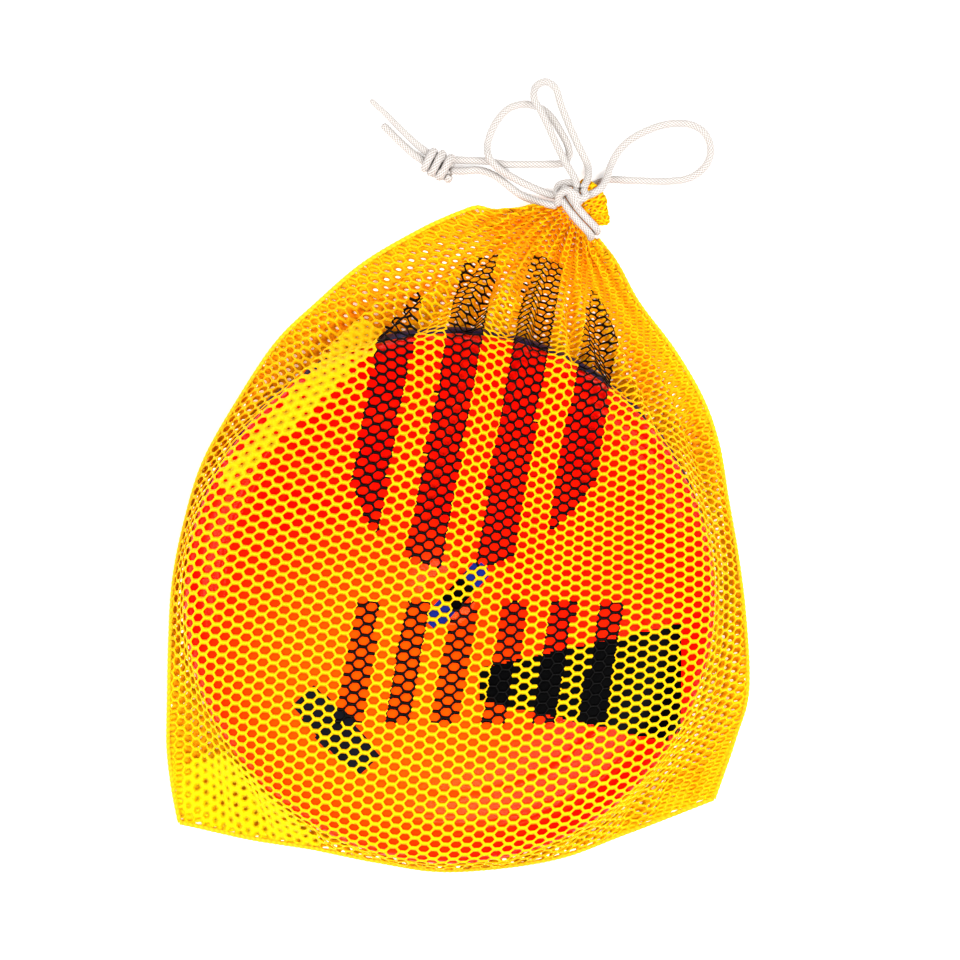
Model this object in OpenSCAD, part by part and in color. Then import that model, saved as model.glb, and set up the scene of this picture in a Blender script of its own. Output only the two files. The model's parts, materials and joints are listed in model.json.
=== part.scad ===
// Drawstring mesh bag lying on its back, holding two nested flying discs.
// +X is across the bag, +Y runs to its mouth and +Z is up from the surface.
// The origin is on the surface, under the middle of the bag.

/* [Discs] */
// Outside radius of a flying disc
disc_r = 132; // [120:1:132]
// Height of a flying disc from its lip to its flight plate
disc_h = 25; // [20:1:26]
// Radius of the flat flight plate
plate_r = 97; // [85:1:105]
// Height of the outermost edge above the lip
disc_edge_z = 8; // [6:1:10]
// Wall thickness of the moulding
disc_wall = 2; // [1.5:0.1:2.5]
// How far the upper disc sits above the lower one
nest_z = 20.5; // [20.5:0.5:24]
// How far the lower disc lies towards the mouth of the bag
nest_y = 4; // [0:0.5:4]

/* [Bag] */
// Thickness of the knitted mesh
mesh_t = 0.9; // [0.6:0.1:1.2]
// Width of the sewn seam band outside the panels
seam_w = 1.2; // [0.8:0.1:2]
// Height of the sewn seam band
seam_h = 2.2; // [1.6:0.1:2.6]
// Air between cloth and disc
cloth_gap = 0.5; // [0.3:0.1:1]
// How far the discs can shift sideways in the bag
slack_x = 8; // [0:1:8]

/* [Drawcord] */
// Diameter of the braided cord
cord_d = 4; // [3.6:0.1:4]
// Half the width of the gathered neck
neck_a = 11; // [9:0.5:12]
// Half the height of the gathered neck
neck_b = 4.2; // [3.5:0.1:4.5]

/* [Hidden] */

// The discs' common middle, seen from above.
disc_x = -4;
disc_y = -37;
blue_z = mesh_t + cloth_gap;
red_z = blue_z + nest_z;
red_top = red_z + disc_h;
edge_band = 1;
print_t = 0.25;
bag_top = red_top + cloth_gap + print_t + mesh_t;
crown_r = plate_r + 3;

// Edge of the bag, counter-clockwise from the neck: x, y, height of the front cloth's edge,
// height of the back cloth's edge, and how square the front cloth's shoulder is.
EDGE = [
    [57, 153.5, 12.6, 4.6, 1.6], [50, 161, 8.6, 8.6, 1.6], [41, 159, 6, 6, 1.6],
    [19, 156.5, 4, 4, 1.6], [11, 159, 4, 4, 1.6], [1, 156, 4, 4, 1.6],
    [-17, 147.5, 4, 4, 1.7], [-46, 131, 4, 4, 1.8], [-70, 110.5, 5, 5, 2], [-90, 91, 6, 6, 2.2],
    [-109, 62, 8, 8, 2.6], [-126, 31, 10, 10, 3.2], [-135, 2, 12, 12, 3.4],
    [-141, -28, 12, 12, 3.4], [-143, -58, 9, 9, 3.2], [-144, -88, 6, 6, 2.8],
    [-144.8, -112, 3, 3, 2.2], [-143, -132, 2, 2, 1.8], [-139.5, -150, 2, 2, 1.7],
    [-106, -157, 2.4, 2.4, 2], [-74, -161.5, 5, 5, 2.8], [-40, -168, 10, 10, 3.4],
    [-4, -172.5, 12, 12, 3.4], [46, -167, 10, 10, 3.2], [81, -156.5, 5, 5, 2.8],
    [128, -138, 2, 2, 2.1], [139, -108, 2, 2, 2.4], [144.8, -84, 3, 3, 3],
    [143, -48, 5, 5, 3.4], [140, -18, 6, 6, 3.4], [134.5, 12, 7, 7, 3.2],
    [131, 38, 7, 7, 3], [123, 62, 6, 6, 2.6], [108, 87, 5, 5, 2.3],
    [90, 111, 4, 4, 2], [79, 131, 4, 4, 1.8], [70, 142.5, 6, 6, 1.7], [64, 146, 8.6, 8.6, 1.6]];
EDGE_STEPS = 2;
LEFT_FIRST = 1;
LEFT_LAST = 18;
BOTTOM_LAST = 25;
RIGHT_LAST = 37;
RINGS = 7;

// Direction across the tied neck, direction out of the mouth, and the tie's middle.
ACROSS = [0.63, -0.777, 0];
OUT = [0.777, 0.63, 0];
TIE = [60, 156, 8.6];

// Drawcord routes: each point is x, y, z of the cord's middle.
RIGHT_LOOP = [[62, 163.5, 12], [68.5, 166, 13], [72.5, 169, 11.5], [75, 174, 7.5], [77.5, 181, 2.6],
    [81.5, 188, 2], [88, 194, 2], [98, 199, 2], [108, 201.5, 2], [117, 201, 2], [123.5, 197.5, 2],
    [127, 191.5, 2], [127, 184.5, 2], [123.5, 178.5, 2], [116.5, 174, 2], [107, 172.5, 2],
    [96, 172.5, 2], [84, 173, 2], [75, 173, 2], [68, 170, 2.2], [62.5, 165.5, 4.5]];
TOP_LOOP = [[60, 168, 12], [58.5, 174, 9.5], [54, 182, 7.2], [49.5, 191, 6.2], [45.5, 200, 6.2],
    [41.5, 208, 6.6], [38.5, 214, 5.6], [39.5, 220, 3.6], [44.5, 222.5, 2.4], [49.5, 219, 2],
    [52, 211, 2], [56.5, 200, 2], [61.5, 189, 2], [65.5, 180.5, 3], [65.5, 174, 8.5], [63, 168, 13.5]];
LONG_STRAND = [[50, 164.5, 9], [45, 166, 5.5], [37, 169.5, 2.8], [29, 173.5, 3], [23, 177, 5],
    [18.5, 180.5, 6.4], [15.5, 185, 6], [15, 190, 3], [16.5, 196, 2], [20, 203, 2],
    [25, 208.5, 2], [31, 211, 2], [37, 210.8, 2], [43, 208.5, 2], [48, 203.5, 2], [52, 197, 2],
    [55.5, 190.5, 2], [56, 185, 2], [52, 181.5, 2], [45, 181, 2], [34, 181, 2], [24, 181, 2],
    [14, 182.5, 2], [3, 183, 2.6], [-4, 183, 5]];
SHORT_STRAND = [[50, 159.5, 12], [44, 160.8, 9.6], [37, 163, 4.6], [30, 166.5, 2], [23, 172, 2],
    [17, 176, 2], [10, 178, 2], [3, 177.5, 2.8], [-4, 177.5, 5]];
UPPER_TIP = [[-13, 185, 5], [-20, 190.5, 2.2], [-28, 198, 2], [-36, 206, 2], [-44, 213.5, 2]];
LOWER_TIP = [[-16, 181.5, 5], [-23, 186.5, 2.2], [-30, 193, 2], [-38, 201, 2]];
KNOT = [-9, 180];
CORD_SIDES = 8;
WRAP_RINGS = 14;
WRAP_A = neck_a + cord_d / 2 + 0.6;
WRAP_B = neck_b + cord_d / 2 + 0.3;
WRAP_TURN = cord_d / 2 + 0.1;

// The point at t between b and c on a smooth curve through a, b, c and d.
function between(a, b, c, d, t) =
    b + 0.5 * t * (c - a + t * (2 * a - 5 * b + 4 * c - d + t * (3 * (b - c) + d - a)));

EDGE_N = len(EDGE);
RIM = [for (i = [0 : EDGE_N - 1]) for (k = [0 : EDGE_STEPS - 1])
    between(EDGE[(i + EDGE_N - 1) % EDGE_N], EDGE[i], EDGE[(i + 1) % EDGE_N],
        EDGE[(i + 2) % EDGE_N], k / EDGE_STEPS)];
RIM_N = len(RIM);

function reach(p) = norm([p[0] - disc_x, p[1] - disc_y]);
function on_ray(p, r) = [disc_x, disc_y] + (([p[0], p[1]] - [disc_x, disc_y]) * r / reach(p));

// A point of the front cloth, s from 0 at the crown to 1 at the bag's edge.
function front_point(p, s, inset) =
    let (far = reach(p) - inset, k = 2 / p[4])
    let (xy = on_ray(p, crown_r + (far - crown_r) * pow(sin(90 * s), k)))
    [xy[0], xy[1], p[2] + (bag_top - inset - p[2]) * pow(cos(90 * s), k)];

// A point of the back cloth, s from 0 on the surface to 1 at the bag's edge.
function back_point(p, s, inset) =
    let (far = reach(p) - inset, side = max(0, (p[0] - disc_x) / reach(p)), up = max(0, (p[1] - disc_y) / reach(p)))
    let (near = min(far - 1, disc_r + 0.6 + slack_x * side + nest_y * up))
    let (xy = on_ray(p, near + (far - near) * sin(90 * s)))
    [xy[0], xy[1], inset + (p[3] - inset) * (1 - cos(90 * s))];

// A closed shell between an outer and an inner grid of RINGS + 1 rings. The outer grid looks up
// for the front of the bag, and down for its back.
module shell(outer, inner, looks_up) {
    count = (RINGS + 1) * RIM_N;
    function at(j, i) = j * RIM_N + i % RIM_N;
    skin = [for (j = [0 : RINGS - 1]) for (i = [0 : RIM_N - 1]) each [
        [at(j, i), at(j, i + 1), at(j + 1, i + 1)], [at(j, i), at(j + 1, i + 1), at(j + 1, i)]]];
    lining = [for (f = skin) [f[2] + count, f[1] + count, f[0] + count]];
    lip = [for (i = [0 : RIM_N - 1]) let (o = at(RINGS, i), p = at(RINGS, i + 1)) each [
        [o, p, p + count], [o, p + count, o + count]]];
    crown = [[for (i = [RIM_N - 1 : -1 : 0]) i], [for (i = [0 : RIM_N - 1]) i + count]];
    faces = concat(skin, lining, lip, crown);
    polyhedron(concat(outer, inner),
        looks_up ? faces : [for (f = faces) [for (i = [len(f) - 1 : -1 : 0]) f[i]]]);
}

module front_panel() {
    color("gold") shell(
        [for (j = [0 : RINGS]) for (p = RIM) front_point(p, j / RINGS, 0)],
        [for (j = [0 : RINGS]) for (p = RIM) front_point(p, j / RINGS, mesh_t)], true);
}

module back_panel() {
    color("goldenrod") shell(
        [for (j = [0 : RINGS]) for (p = RIM) back_point(p, j / RINGS, 0)],
        [for (j = [0 : RINGS]) for (p = RIM) back_point(p, j / RINGS, mesh_t)], false);
}

// A sewn band outside the edge of the two panels, between two of the edge's points.
module seam(first, last) {
    ids = [for (i = [first * EDGE_STEPS : last * EDGE_STEPS]) i % RIM_N];
    n = len(ids);
    function flat(i) = [RIM[i][0], RIM[i][1]];
    function outward(i) = let (d = flat((i + 1) % RIM_N) - flat((i + RIM_N - 1) % RIM_N))
        [d[1], -d[0]] / norm(d);
    points = [for (i = ids) let (a = flat(i), b = a + seam_w * outward(i), z = RIM[i][2]) each [
        [a[0], a[1], z - seam_h / 2 + 0.3], [b[0], b[1], z - seam_h / 2 + 0.3],
        [b[0], b[1], z + seam_h / 2], [a[0], a[1], z + seam_h / 2]]];
    sides = [for (k = [0 : n - 2]) for (c = [0 : 3]) each [
        [4 * k + c, 4 * k + (c + 1) % 4, 4 * k + 4 + c],
        [4 * k + (c + 1) % 4, 4 * k + 4 + (c + 1) % 4, 4 * k + 4 + c]]];
    polyhedron(points, concat(sides, [[3, 2, 1, 0]], [[for (c = [0 : 3]) 4 * (n - 1) + c]]));
}

module left_seam() color("gold") seam(LEFT_FIRST, LEFT_LAST);
module bottom_seam() color("gold") seam(LEFT_LAST, BOTTOM_LAST);
module right_seam() color("gold") seam(BOTTOM_LAST, RIGHT_LAST);

// A round bar along a list of points; up is any direction that the bar never follows.
module cord(points, up) {
    n = len(points);
    function along(i) = points[min(i + 1, n - 1)] - points[max(i - 1, 0)];
    rings = [for (i = [0 : n - 1])
        let (side = cross(up, along(i)), u = side / norm(side), w = cross(along(i), u), v = w / norm(w))
        for (k = [0 : CORD_SIDES - 1])
            points[i] + cord_d / 2 * (cos(360 * k / CORD_SIDES) * u + sin(360 * k / CORD_SIDES) * v)];
    walls = [for (i = [0 : n - 2]) for (k = [0 : CORD_SIDES - 1])
        let (a = i * CORD_SIDES + k, b = i * CORD_SIDES + (k + 1) % CORD_SIDES) each [
            [a, a + CORD_SIDES, b], [b, a + CORD_SIDES, b + CORD_SIDES]]];
    polyhedron(rings, concat(walls, [[for (k = [0 : CORD_SIDES - 1]) k]],
        [[for (k = [CORD_SIDES - 1 : -1 : 0]) (n - 1) * CORD_SIDES + k]]));
}

// Places children in the tie's own frame: X across the neck, Y out of the mouth.
module at_tie() {
    multmatrix([[ACROSS[0], OUT[0], 0, TIE[0]], [ACROSS[1], OUT[1], 0, TIE[1]], [0, 0, 1, TIE[2]]])
        children();
}

// The cloth of both panels, bunched where the cord ties it.
module gathered_neck() {
    color("gold") at_tie() translate([0, -3.6, 0]) rotate([-90, 0, 0])
        linear_extrude(8) polygon([for (k = [0 : 47])
            let (r = 1 + 0.05 * cos(7.5 * 8 * k))
            [r * (neck_a - 0.6) * cos(7.5 * k), r * (neck_b - 0.3) * sin(7.5 * k)]]);
}

// The folded hem that the cord runs in, ruffled beyond the tie.
module gathered_casing() {
    color("orange") at_tie() hull() {
        translate([-8, 6.8, 0]) sphere(2.2, $fn = 24);
        translate([8, 6.8, 0]) sphere(2.2, $fn = 24);
        translate([13.2, 6.8, -4]) sphere(2.4, $fn = 24);
        translate([-8.2, 14.2, -2.6]) sphere(1.6, $fn = 24);
        translate([0, 14.6, -4.6]) sphere(2.6, $fn = 24);
        translate([6, 14.2, -4.4]) sphere(2.8, $fn = 24);
    }
}

// The row of stitches that closes the hem's fold.
module casing_stitching() {
    color("khaki") at_tie() for (x = [-8 : 4 : 8])
        translate([x, 8.2, 1.1]) rotate([90, 0, 90]) cylinder(h = 2.6, d = 0.7, center = true, $fn = 16);
}

module neck_wrap() {
    color("linen") for (turn = [-1, 1])
        cord([for (k = [0 : WRAP_RINGS]) let (a = 360 * k / WRAP_RINGS * 0.985)
            TIE + OUT * WRAP_TURN * turn + ACROSS * WRAP_A * cos(a - 160) + [0, 0, 1] * WRAP_B * sin(a - 160)], OUT);
}

module bow_knot() {
    color("linen") hull() {
        translate([52.5, 166, 13]) sphere(4.6, $fn = 24);
        translate([60.5, 165.5, 14]) sphere(4.2, $fn = 24);
        translate([56, 162.5, 15.8]) sphere(3.4, $fn = 24);
        translate([56, 167.5, 6]) sphere(4, $fn = 24);
    }
}

module right_loop() color("linen") cord(RIGHT_LOOP, [0, 0, 1]);
module top_loop() color("linen") cord(TOP_LOOP, [0, 0, 1]);
module long_strand() color("linen") cord(LONG_STRAND, [0, 0, 1]);
module short_strand() color("linen") cord(SHORT_STRAND, [0, 0, 1]);
module upper_tip() color("linen") cord(UPPER_TIP, [0, 0, 1]);
module lower_tip() color("linen") cord(LOWER_TIP, [0, 0, 1]);

module stopper_knot() {
    color("linen") hull() {
        translate([KNOT[0] - 6.5, KNOT[1] + 2, 5.4]) sphere(5.2, $fn = 24);
        translate([KNOT[0] + 4, KNOT[1] + 1, 5.6]) sphere(5.4, $fn = 24);
        translate([KNOT[0] - 0.5, KNOT[1] - 3.5, 6]) sphere(5, $fn = 24);
    }
}

// A flying disc: a flat plate, a rounded shoulder and a thick lip, hollow below.
module disc() {
    arc = [for (a = [0 : 9 : 90]) [sin(a), cos(a)]];
    rise = disc_h - disc_edge_z;
    outside = [for (c = arc) [plate_r + (disc_r - plate_r) * c[0], disc_edge_z + rise * c[1]]];
    inside = [for (k = [10 : -1 : 0]) let (c = arc[k])
        [plate_r + (disc_r - 3.4 - plate_r) * c[0], disc_edge_z + (rise - disc_wall) * c[1]]];
    rotate_extrude($fn = 96) polygon(concat([[0, disc_h]], outside, [[disc_r, disc_edge_z - edge_band]],
        [[disc_r - 1.2, 0], [disc_r - 3.6, 0]], inside, [[0, disc_h - disc_wall]]));
}

module blue_disc() color("midnightblue") translate([disc_x, disc_y + nest_y, blue_z]) disc();
module red_disc() color("red") translate([disc_x, disc_y, red_z]) disc();

// Printed marks on the red disc's plate, as thin films.
module mark(x, y, turn, length, width) {
    translate([x, y, red_top]) rotate(turn) translate([-length / 2, -width / 2, 0])
        cube([length, width, print_t]);
}

module red_disc_band() {
    color("black") translate([0, 0, red_top]) linear_extrude(print_t)
        polygon([[8, -58], [8, -96], [64, -96], [64, -58]]);
}
module red_disc_patch() color("dimgray") mark(-60, -102, -45, 48, 20);
module red_disc_tab() color("royalblue") mark(0, -35, 47, 40, 10);

front_panel();
back_panel();
left_seam();
bottom_seam();
right_seam();
gathered_neck();
gathered_casing();
casing_stitching();
neck_wrap();
bow_knot();
right_loop();
top_loop();
long_strand();
short_strand();
stopper_knot();
upper_tip();
lower_tip();
blue_disc();
red_disc();
red_disc_band();
red_disc_patch();
red_disc_tab();
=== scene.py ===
# %% [markdown]
# # A drawstring mesh bag with two flying discs
# The bag is two panels of knitted net, sewn together on three sides and tied shut with a
# cotton cord. Inside lie two nested discs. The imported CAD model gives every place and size,
# so this lesson only adds the looks: a draped net, a braided cord and moulded plastic.

# %% Load the fixed frame
import json
import math
import bpy
import numpy as np
from mathutils import Vector
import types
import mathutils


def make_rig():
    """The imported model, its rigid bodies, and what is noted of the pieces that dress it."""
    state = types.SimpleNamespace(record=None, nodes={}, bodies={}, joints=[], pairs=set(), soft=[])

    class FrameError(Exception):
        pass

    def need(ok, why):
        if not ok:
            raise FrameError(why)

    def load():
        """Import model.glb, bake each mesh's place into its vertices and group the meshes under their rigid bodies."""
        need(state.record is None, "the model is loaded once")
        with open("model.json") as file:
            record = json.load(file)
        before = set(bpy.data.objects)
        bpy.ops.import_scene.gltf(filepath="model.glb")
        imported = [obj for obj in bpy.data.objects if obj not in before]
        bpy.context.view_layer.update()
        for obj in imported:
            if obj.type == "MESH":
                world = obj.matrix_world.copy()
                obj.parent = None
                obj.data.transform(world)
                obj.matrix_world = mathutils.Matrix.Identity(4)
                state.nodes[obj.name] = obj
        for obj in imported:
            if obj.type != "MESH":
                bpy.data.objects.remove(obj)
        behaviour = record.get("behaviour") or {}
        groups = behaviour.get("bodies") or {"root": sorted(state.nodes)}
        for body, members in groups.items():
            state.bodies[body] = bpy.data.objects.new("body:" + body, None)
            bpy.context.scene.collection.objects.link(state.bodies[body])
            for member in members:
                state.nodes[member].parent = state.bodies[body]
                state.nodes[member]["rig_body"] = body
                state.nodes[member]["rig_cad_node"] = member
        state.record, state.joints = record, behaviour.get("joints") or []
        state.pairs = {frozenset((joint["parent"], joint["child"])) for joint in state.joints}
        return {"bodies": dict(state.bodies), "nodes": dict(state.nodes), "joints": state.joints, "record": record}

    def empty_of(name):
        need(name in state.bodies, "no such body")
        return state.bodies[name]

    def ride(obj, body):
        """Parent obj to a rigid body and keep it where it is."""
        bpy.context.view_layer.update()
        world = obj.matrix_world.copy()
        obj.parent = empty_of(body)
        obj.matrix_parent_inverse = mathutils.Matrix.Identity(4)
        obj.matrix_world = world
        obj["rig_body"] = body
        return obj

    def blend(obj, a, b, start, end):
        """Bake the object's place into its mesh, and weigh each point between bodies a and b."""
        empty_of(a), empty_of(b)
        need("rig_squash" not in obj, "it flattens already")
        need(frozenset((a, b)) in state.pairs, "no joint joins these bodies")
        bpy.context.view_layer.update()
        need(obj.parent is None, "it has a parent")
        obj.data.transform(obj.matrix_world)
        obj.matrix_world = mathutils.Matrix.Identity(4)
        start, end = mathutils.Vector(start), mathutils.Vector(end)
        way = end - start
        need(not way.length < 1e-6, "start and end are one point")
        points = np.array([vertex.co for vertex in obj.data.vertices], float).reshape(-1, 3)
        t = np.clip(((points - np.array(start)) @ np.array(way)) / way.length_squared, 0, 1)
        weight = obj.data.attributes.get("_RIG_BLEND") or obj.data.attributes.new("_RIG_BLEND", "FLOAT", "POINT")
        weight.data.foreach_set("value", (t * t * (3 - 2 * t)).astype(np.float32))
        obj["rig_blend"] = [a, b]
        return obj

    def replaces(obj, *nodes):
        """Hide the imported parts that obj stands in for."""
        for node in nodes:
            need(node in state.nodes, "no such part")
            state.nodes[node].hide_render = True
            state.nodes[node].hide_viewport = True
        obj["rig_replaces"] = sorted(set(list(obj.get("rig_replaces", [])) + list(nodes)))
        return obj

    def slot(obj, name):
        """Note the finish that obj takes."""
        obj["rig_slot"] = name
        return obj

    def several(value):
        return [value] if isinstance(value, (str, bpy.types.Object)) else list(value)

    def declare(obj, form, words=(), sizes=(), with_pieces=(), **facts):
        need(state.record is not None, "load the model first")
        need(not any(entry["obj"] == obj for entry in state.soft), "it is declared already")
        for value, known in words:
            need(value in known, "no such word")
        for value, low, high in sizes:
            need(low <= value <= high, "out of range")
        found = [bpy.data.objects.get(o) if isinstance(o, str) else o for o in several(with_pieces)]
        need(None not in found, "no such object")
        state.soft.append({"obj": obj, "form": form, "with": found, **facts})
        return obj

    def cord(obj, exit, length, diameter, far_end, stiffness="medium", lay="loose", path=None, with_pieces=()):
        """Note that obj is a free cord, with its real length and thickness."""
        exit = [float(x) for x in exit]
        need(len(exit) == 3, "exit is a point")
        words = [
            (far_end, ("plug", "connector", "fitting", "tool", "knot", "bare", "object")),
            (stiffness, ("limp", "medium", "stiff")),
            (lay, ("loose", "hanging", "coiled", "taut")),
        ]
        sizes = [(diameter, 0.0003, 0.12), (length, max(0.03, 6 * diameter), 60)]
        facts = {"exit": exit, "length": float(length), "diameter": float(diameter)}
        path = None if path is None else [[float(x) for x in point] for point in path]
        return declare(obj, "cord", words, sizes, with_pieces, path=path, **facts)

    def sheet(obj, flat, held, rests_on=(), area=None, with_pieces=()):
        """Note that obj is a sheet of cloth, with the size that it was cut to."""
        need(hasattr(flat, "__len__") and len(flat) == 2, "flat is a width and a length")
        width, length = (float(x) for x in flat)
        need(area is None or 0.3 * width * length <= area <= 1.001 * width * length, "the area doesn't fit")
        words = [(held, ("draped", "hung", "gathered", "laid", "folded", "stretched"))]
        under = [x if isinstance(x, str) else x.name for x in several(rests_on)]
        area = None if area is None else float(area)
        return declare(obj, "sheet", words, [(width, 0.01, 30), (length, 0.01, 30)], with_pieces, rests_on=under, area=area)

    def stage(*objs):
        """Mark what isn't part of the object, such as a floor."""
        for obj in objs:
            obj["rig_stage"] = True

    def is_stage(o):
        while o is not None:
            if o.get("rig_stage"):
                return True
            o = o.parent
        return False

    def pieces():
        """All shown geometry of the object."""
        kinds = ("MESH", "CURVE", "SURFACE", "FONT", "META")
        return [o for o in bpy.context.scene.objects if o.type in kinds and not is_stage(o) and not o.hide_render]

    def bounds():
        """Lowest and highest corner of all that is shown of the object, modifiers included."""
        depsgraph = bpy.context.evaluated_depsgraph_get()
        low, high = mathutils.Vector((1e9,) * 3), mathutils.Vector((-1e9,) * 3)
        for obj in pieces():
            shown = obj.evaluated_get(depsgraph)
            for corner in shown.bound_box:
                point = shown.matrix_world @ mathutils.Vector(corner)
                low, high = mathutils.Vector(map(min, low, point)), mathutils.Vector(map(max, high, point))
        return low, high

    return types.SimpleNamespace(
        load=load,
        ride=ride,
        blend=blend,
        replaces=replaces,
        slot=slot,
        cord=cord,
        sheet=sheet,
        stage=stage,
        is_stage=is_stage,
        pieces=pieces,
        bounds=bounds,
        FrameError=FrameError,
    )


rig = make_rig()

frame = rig.load()
cad_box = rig.bounds()
MM = 0.001
print("bodies:", sorted(frame["bodies"]))

# %% [markdown]
# Small helpers come first. A mesh is made from arrays of points and faces, in millimetres,
# because the bag is a small thing and its sizes read best that way.

# %% Mesh helpers
def new_piece(name, points, faces, smooth=True):
    """A mesh object from points in millimetres."""
    mesh = bpy.data.meshes.new(name)
    mesh.from_pydata((np.asarray(points) * MM).tolist(), [], [list(map(int, f)) for f in faces])
    mesh.update()
    if smooth:
        mesh.polygons.foreach_set("use_smooth", [True] * len(mesh.polygons))
    piece = bpy.data.objects.new(name, mesh)
    bpy.context.scene.collection.objects.link(piece)
    return piece


def dress(piece, body, slot, *materials, nodes=()):
    """Give a piece its finish, its record slot, its body and the CAD nodes it stands for."""
    for material in materials:
        piece.data.materials.append(material)
    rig.slot(piece, slot)
    if body:
        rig.ride(piece, body)
    if nodes:
        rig.replaces(piece, *nodes)
    return piece


# %% [markdown]
# Colours are written as sRGB hex values, the way a colour picker shows them. Blender's shaders
# count in linear light, so one function turns them.

# %% Colour and node helpers
def hex_colour(text):
    """Linear RGBA from an sRGB hex value such as FFD500."""
    part = [int(text[i:i + 2], 16) / 255 for i in (0, 2, 4)]
    return [c / 12.92 if c <= 0.04045 else ((c + 0.055) / 1.055) ** 2.4 for c in part] + [1.0]


def add_node(material, kind, settings=None, links=None, **inputs):
    """Add one node: settings are its properties, inputs its values, links its incoming wires."""
    node = material.node_tree.nodes.new(kind)
    for key, value in (settings or {}).items():
        setattr(node, key, value)
    for key, value in inputs.items():
        node.inputs[key.replace("_", " ")].default_value = value
    for key, source in (links or {}).items():
        material.node_tree.links.new(source, node.inputs[key])
    return node


def start_material(name, **values):
    """A material with one Principled shader and its uniform values."""
    material = bpy.data.materials.new(name)
    material.use_nodes = True
    shader = material.node_tree.nodes["Principled BSDF"]
    for key, value in values.items():
        shader.inputs[key.replace("_", " ")].default_value = value
    return material, shader


def wire(material, source, target):
    material.node_tree.links.new(source, target)


# %% [markdown]
# ## Camera, floor and light
# The bag is seen from straight above, as a product lying on a white table. A long lens from
# well above keeps the tall middle and the flat cords in the same proportion. Three soft
# lights leave hardly a shadow, and the white table glows faintly, as one lit from below does.

# %% Camera, floor and light
VIEW_MIDDLE = (0.01125, 0.022)
VIEW_WIDTH = 0.480
VIEW_LEVEL = 0.02
CAMERA_HEIGHT = 2.5

camera_data = bpy.data.cameras.new("overhead_camera")
camera_data.lens = camera_data.sensor_width * (CAMERA_HEIGHT - VIEW_LEVEL) / VIEW_WIDTH
camera = bpy.data.objects.new("overhead_camera", camera_data)
camera.location = (*VIEW_MIDDLE, CAMERA_HEIGHT)
bpy.context.scene.collection.objects.link(camera)
bpy.context.scene.camera = camera

# %% Lights
def area_light(name, where, aim, size, watts):
    data = bpy.data.lights.new(name, "AREA")
    data.shape, data.size, data.energy = "DISK", size, watts
    light = bpy.data.objects.new(name, data)
    light.location = where
    light.rotation_euler = (Vector(aim) - Vector(where)).to_track_quat("-Z", "Y").to_euler()
    bpy.context.scene.collection.objects.link(light)


area_light("overhead_softbox", (0.35, -0.55, 1.5), (0, -0.03, 0), 0.9, 22)
area_light("left_fill", (-1.2, 0.3, 1.1), (0, 0, 0), 1.0, 17)
area_light("right_fill", (1.1, 0.7, 1.0), (0, 0, 0), 0.9, 12)

world = bpy.data.worlds.new("white_studio")
world.use_nodes = True
world.node_tree.nodes["Background"].inputs["Color"].default_value = hex_colour("FFFFFF")
world.node_tree.nodes["Background"].inputs["Strength"].default_value = 0.25
bpy.context.scene.world = world
bpy.context.scene.view_settings.view_transform = "Standard"
bpy.context.scene.view_settings.look = "Medium High Contrast"

# %% Floor
FLOOR_HALF = 2500
floor = new_piece("table_top", [[-FLOOR_HALF, -FLOOR_HALF, 0], [FLOOR_HALF, -FLOOR_HALF, 0],
                                [FLOOR_HALF, FLOOR_HALF, 0], [-FLOOR_HALF, FLOOR_HALF, 0]], [[0, 1, 2, 3]])
table_white, _ = start_material("matt_white_table", Base_Color=hex_colour("FDFDFD"), Roughness=0.8,
                                Emission_Color=hex_colour("FFFFFF"), Emission_Strength=0.22)
floor.data.materials.append(table_white)
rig.stage(floor)

# %% [markdown]
# ## Materials
# ### Knitted polyester net
# The net is dyed polyester yarn, knitted in hexagons. Yarn is dull along its length and a
# little shiny across, which a soft sheen gives. Light passes through thin yellow yarn and
# scatters inside it, and a faint warm glow is painted on as emission. The mesh carries a value
# of painted shade that mixes two dyes: orange in folds, on the back panel and near the neck.

# %% Net material
YARN_MM = 0.35
YARN_BUMPS = 0.6 / (YARN_MM * 2 * math.pi * MM)
MOTTLE = 0.25

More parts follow.
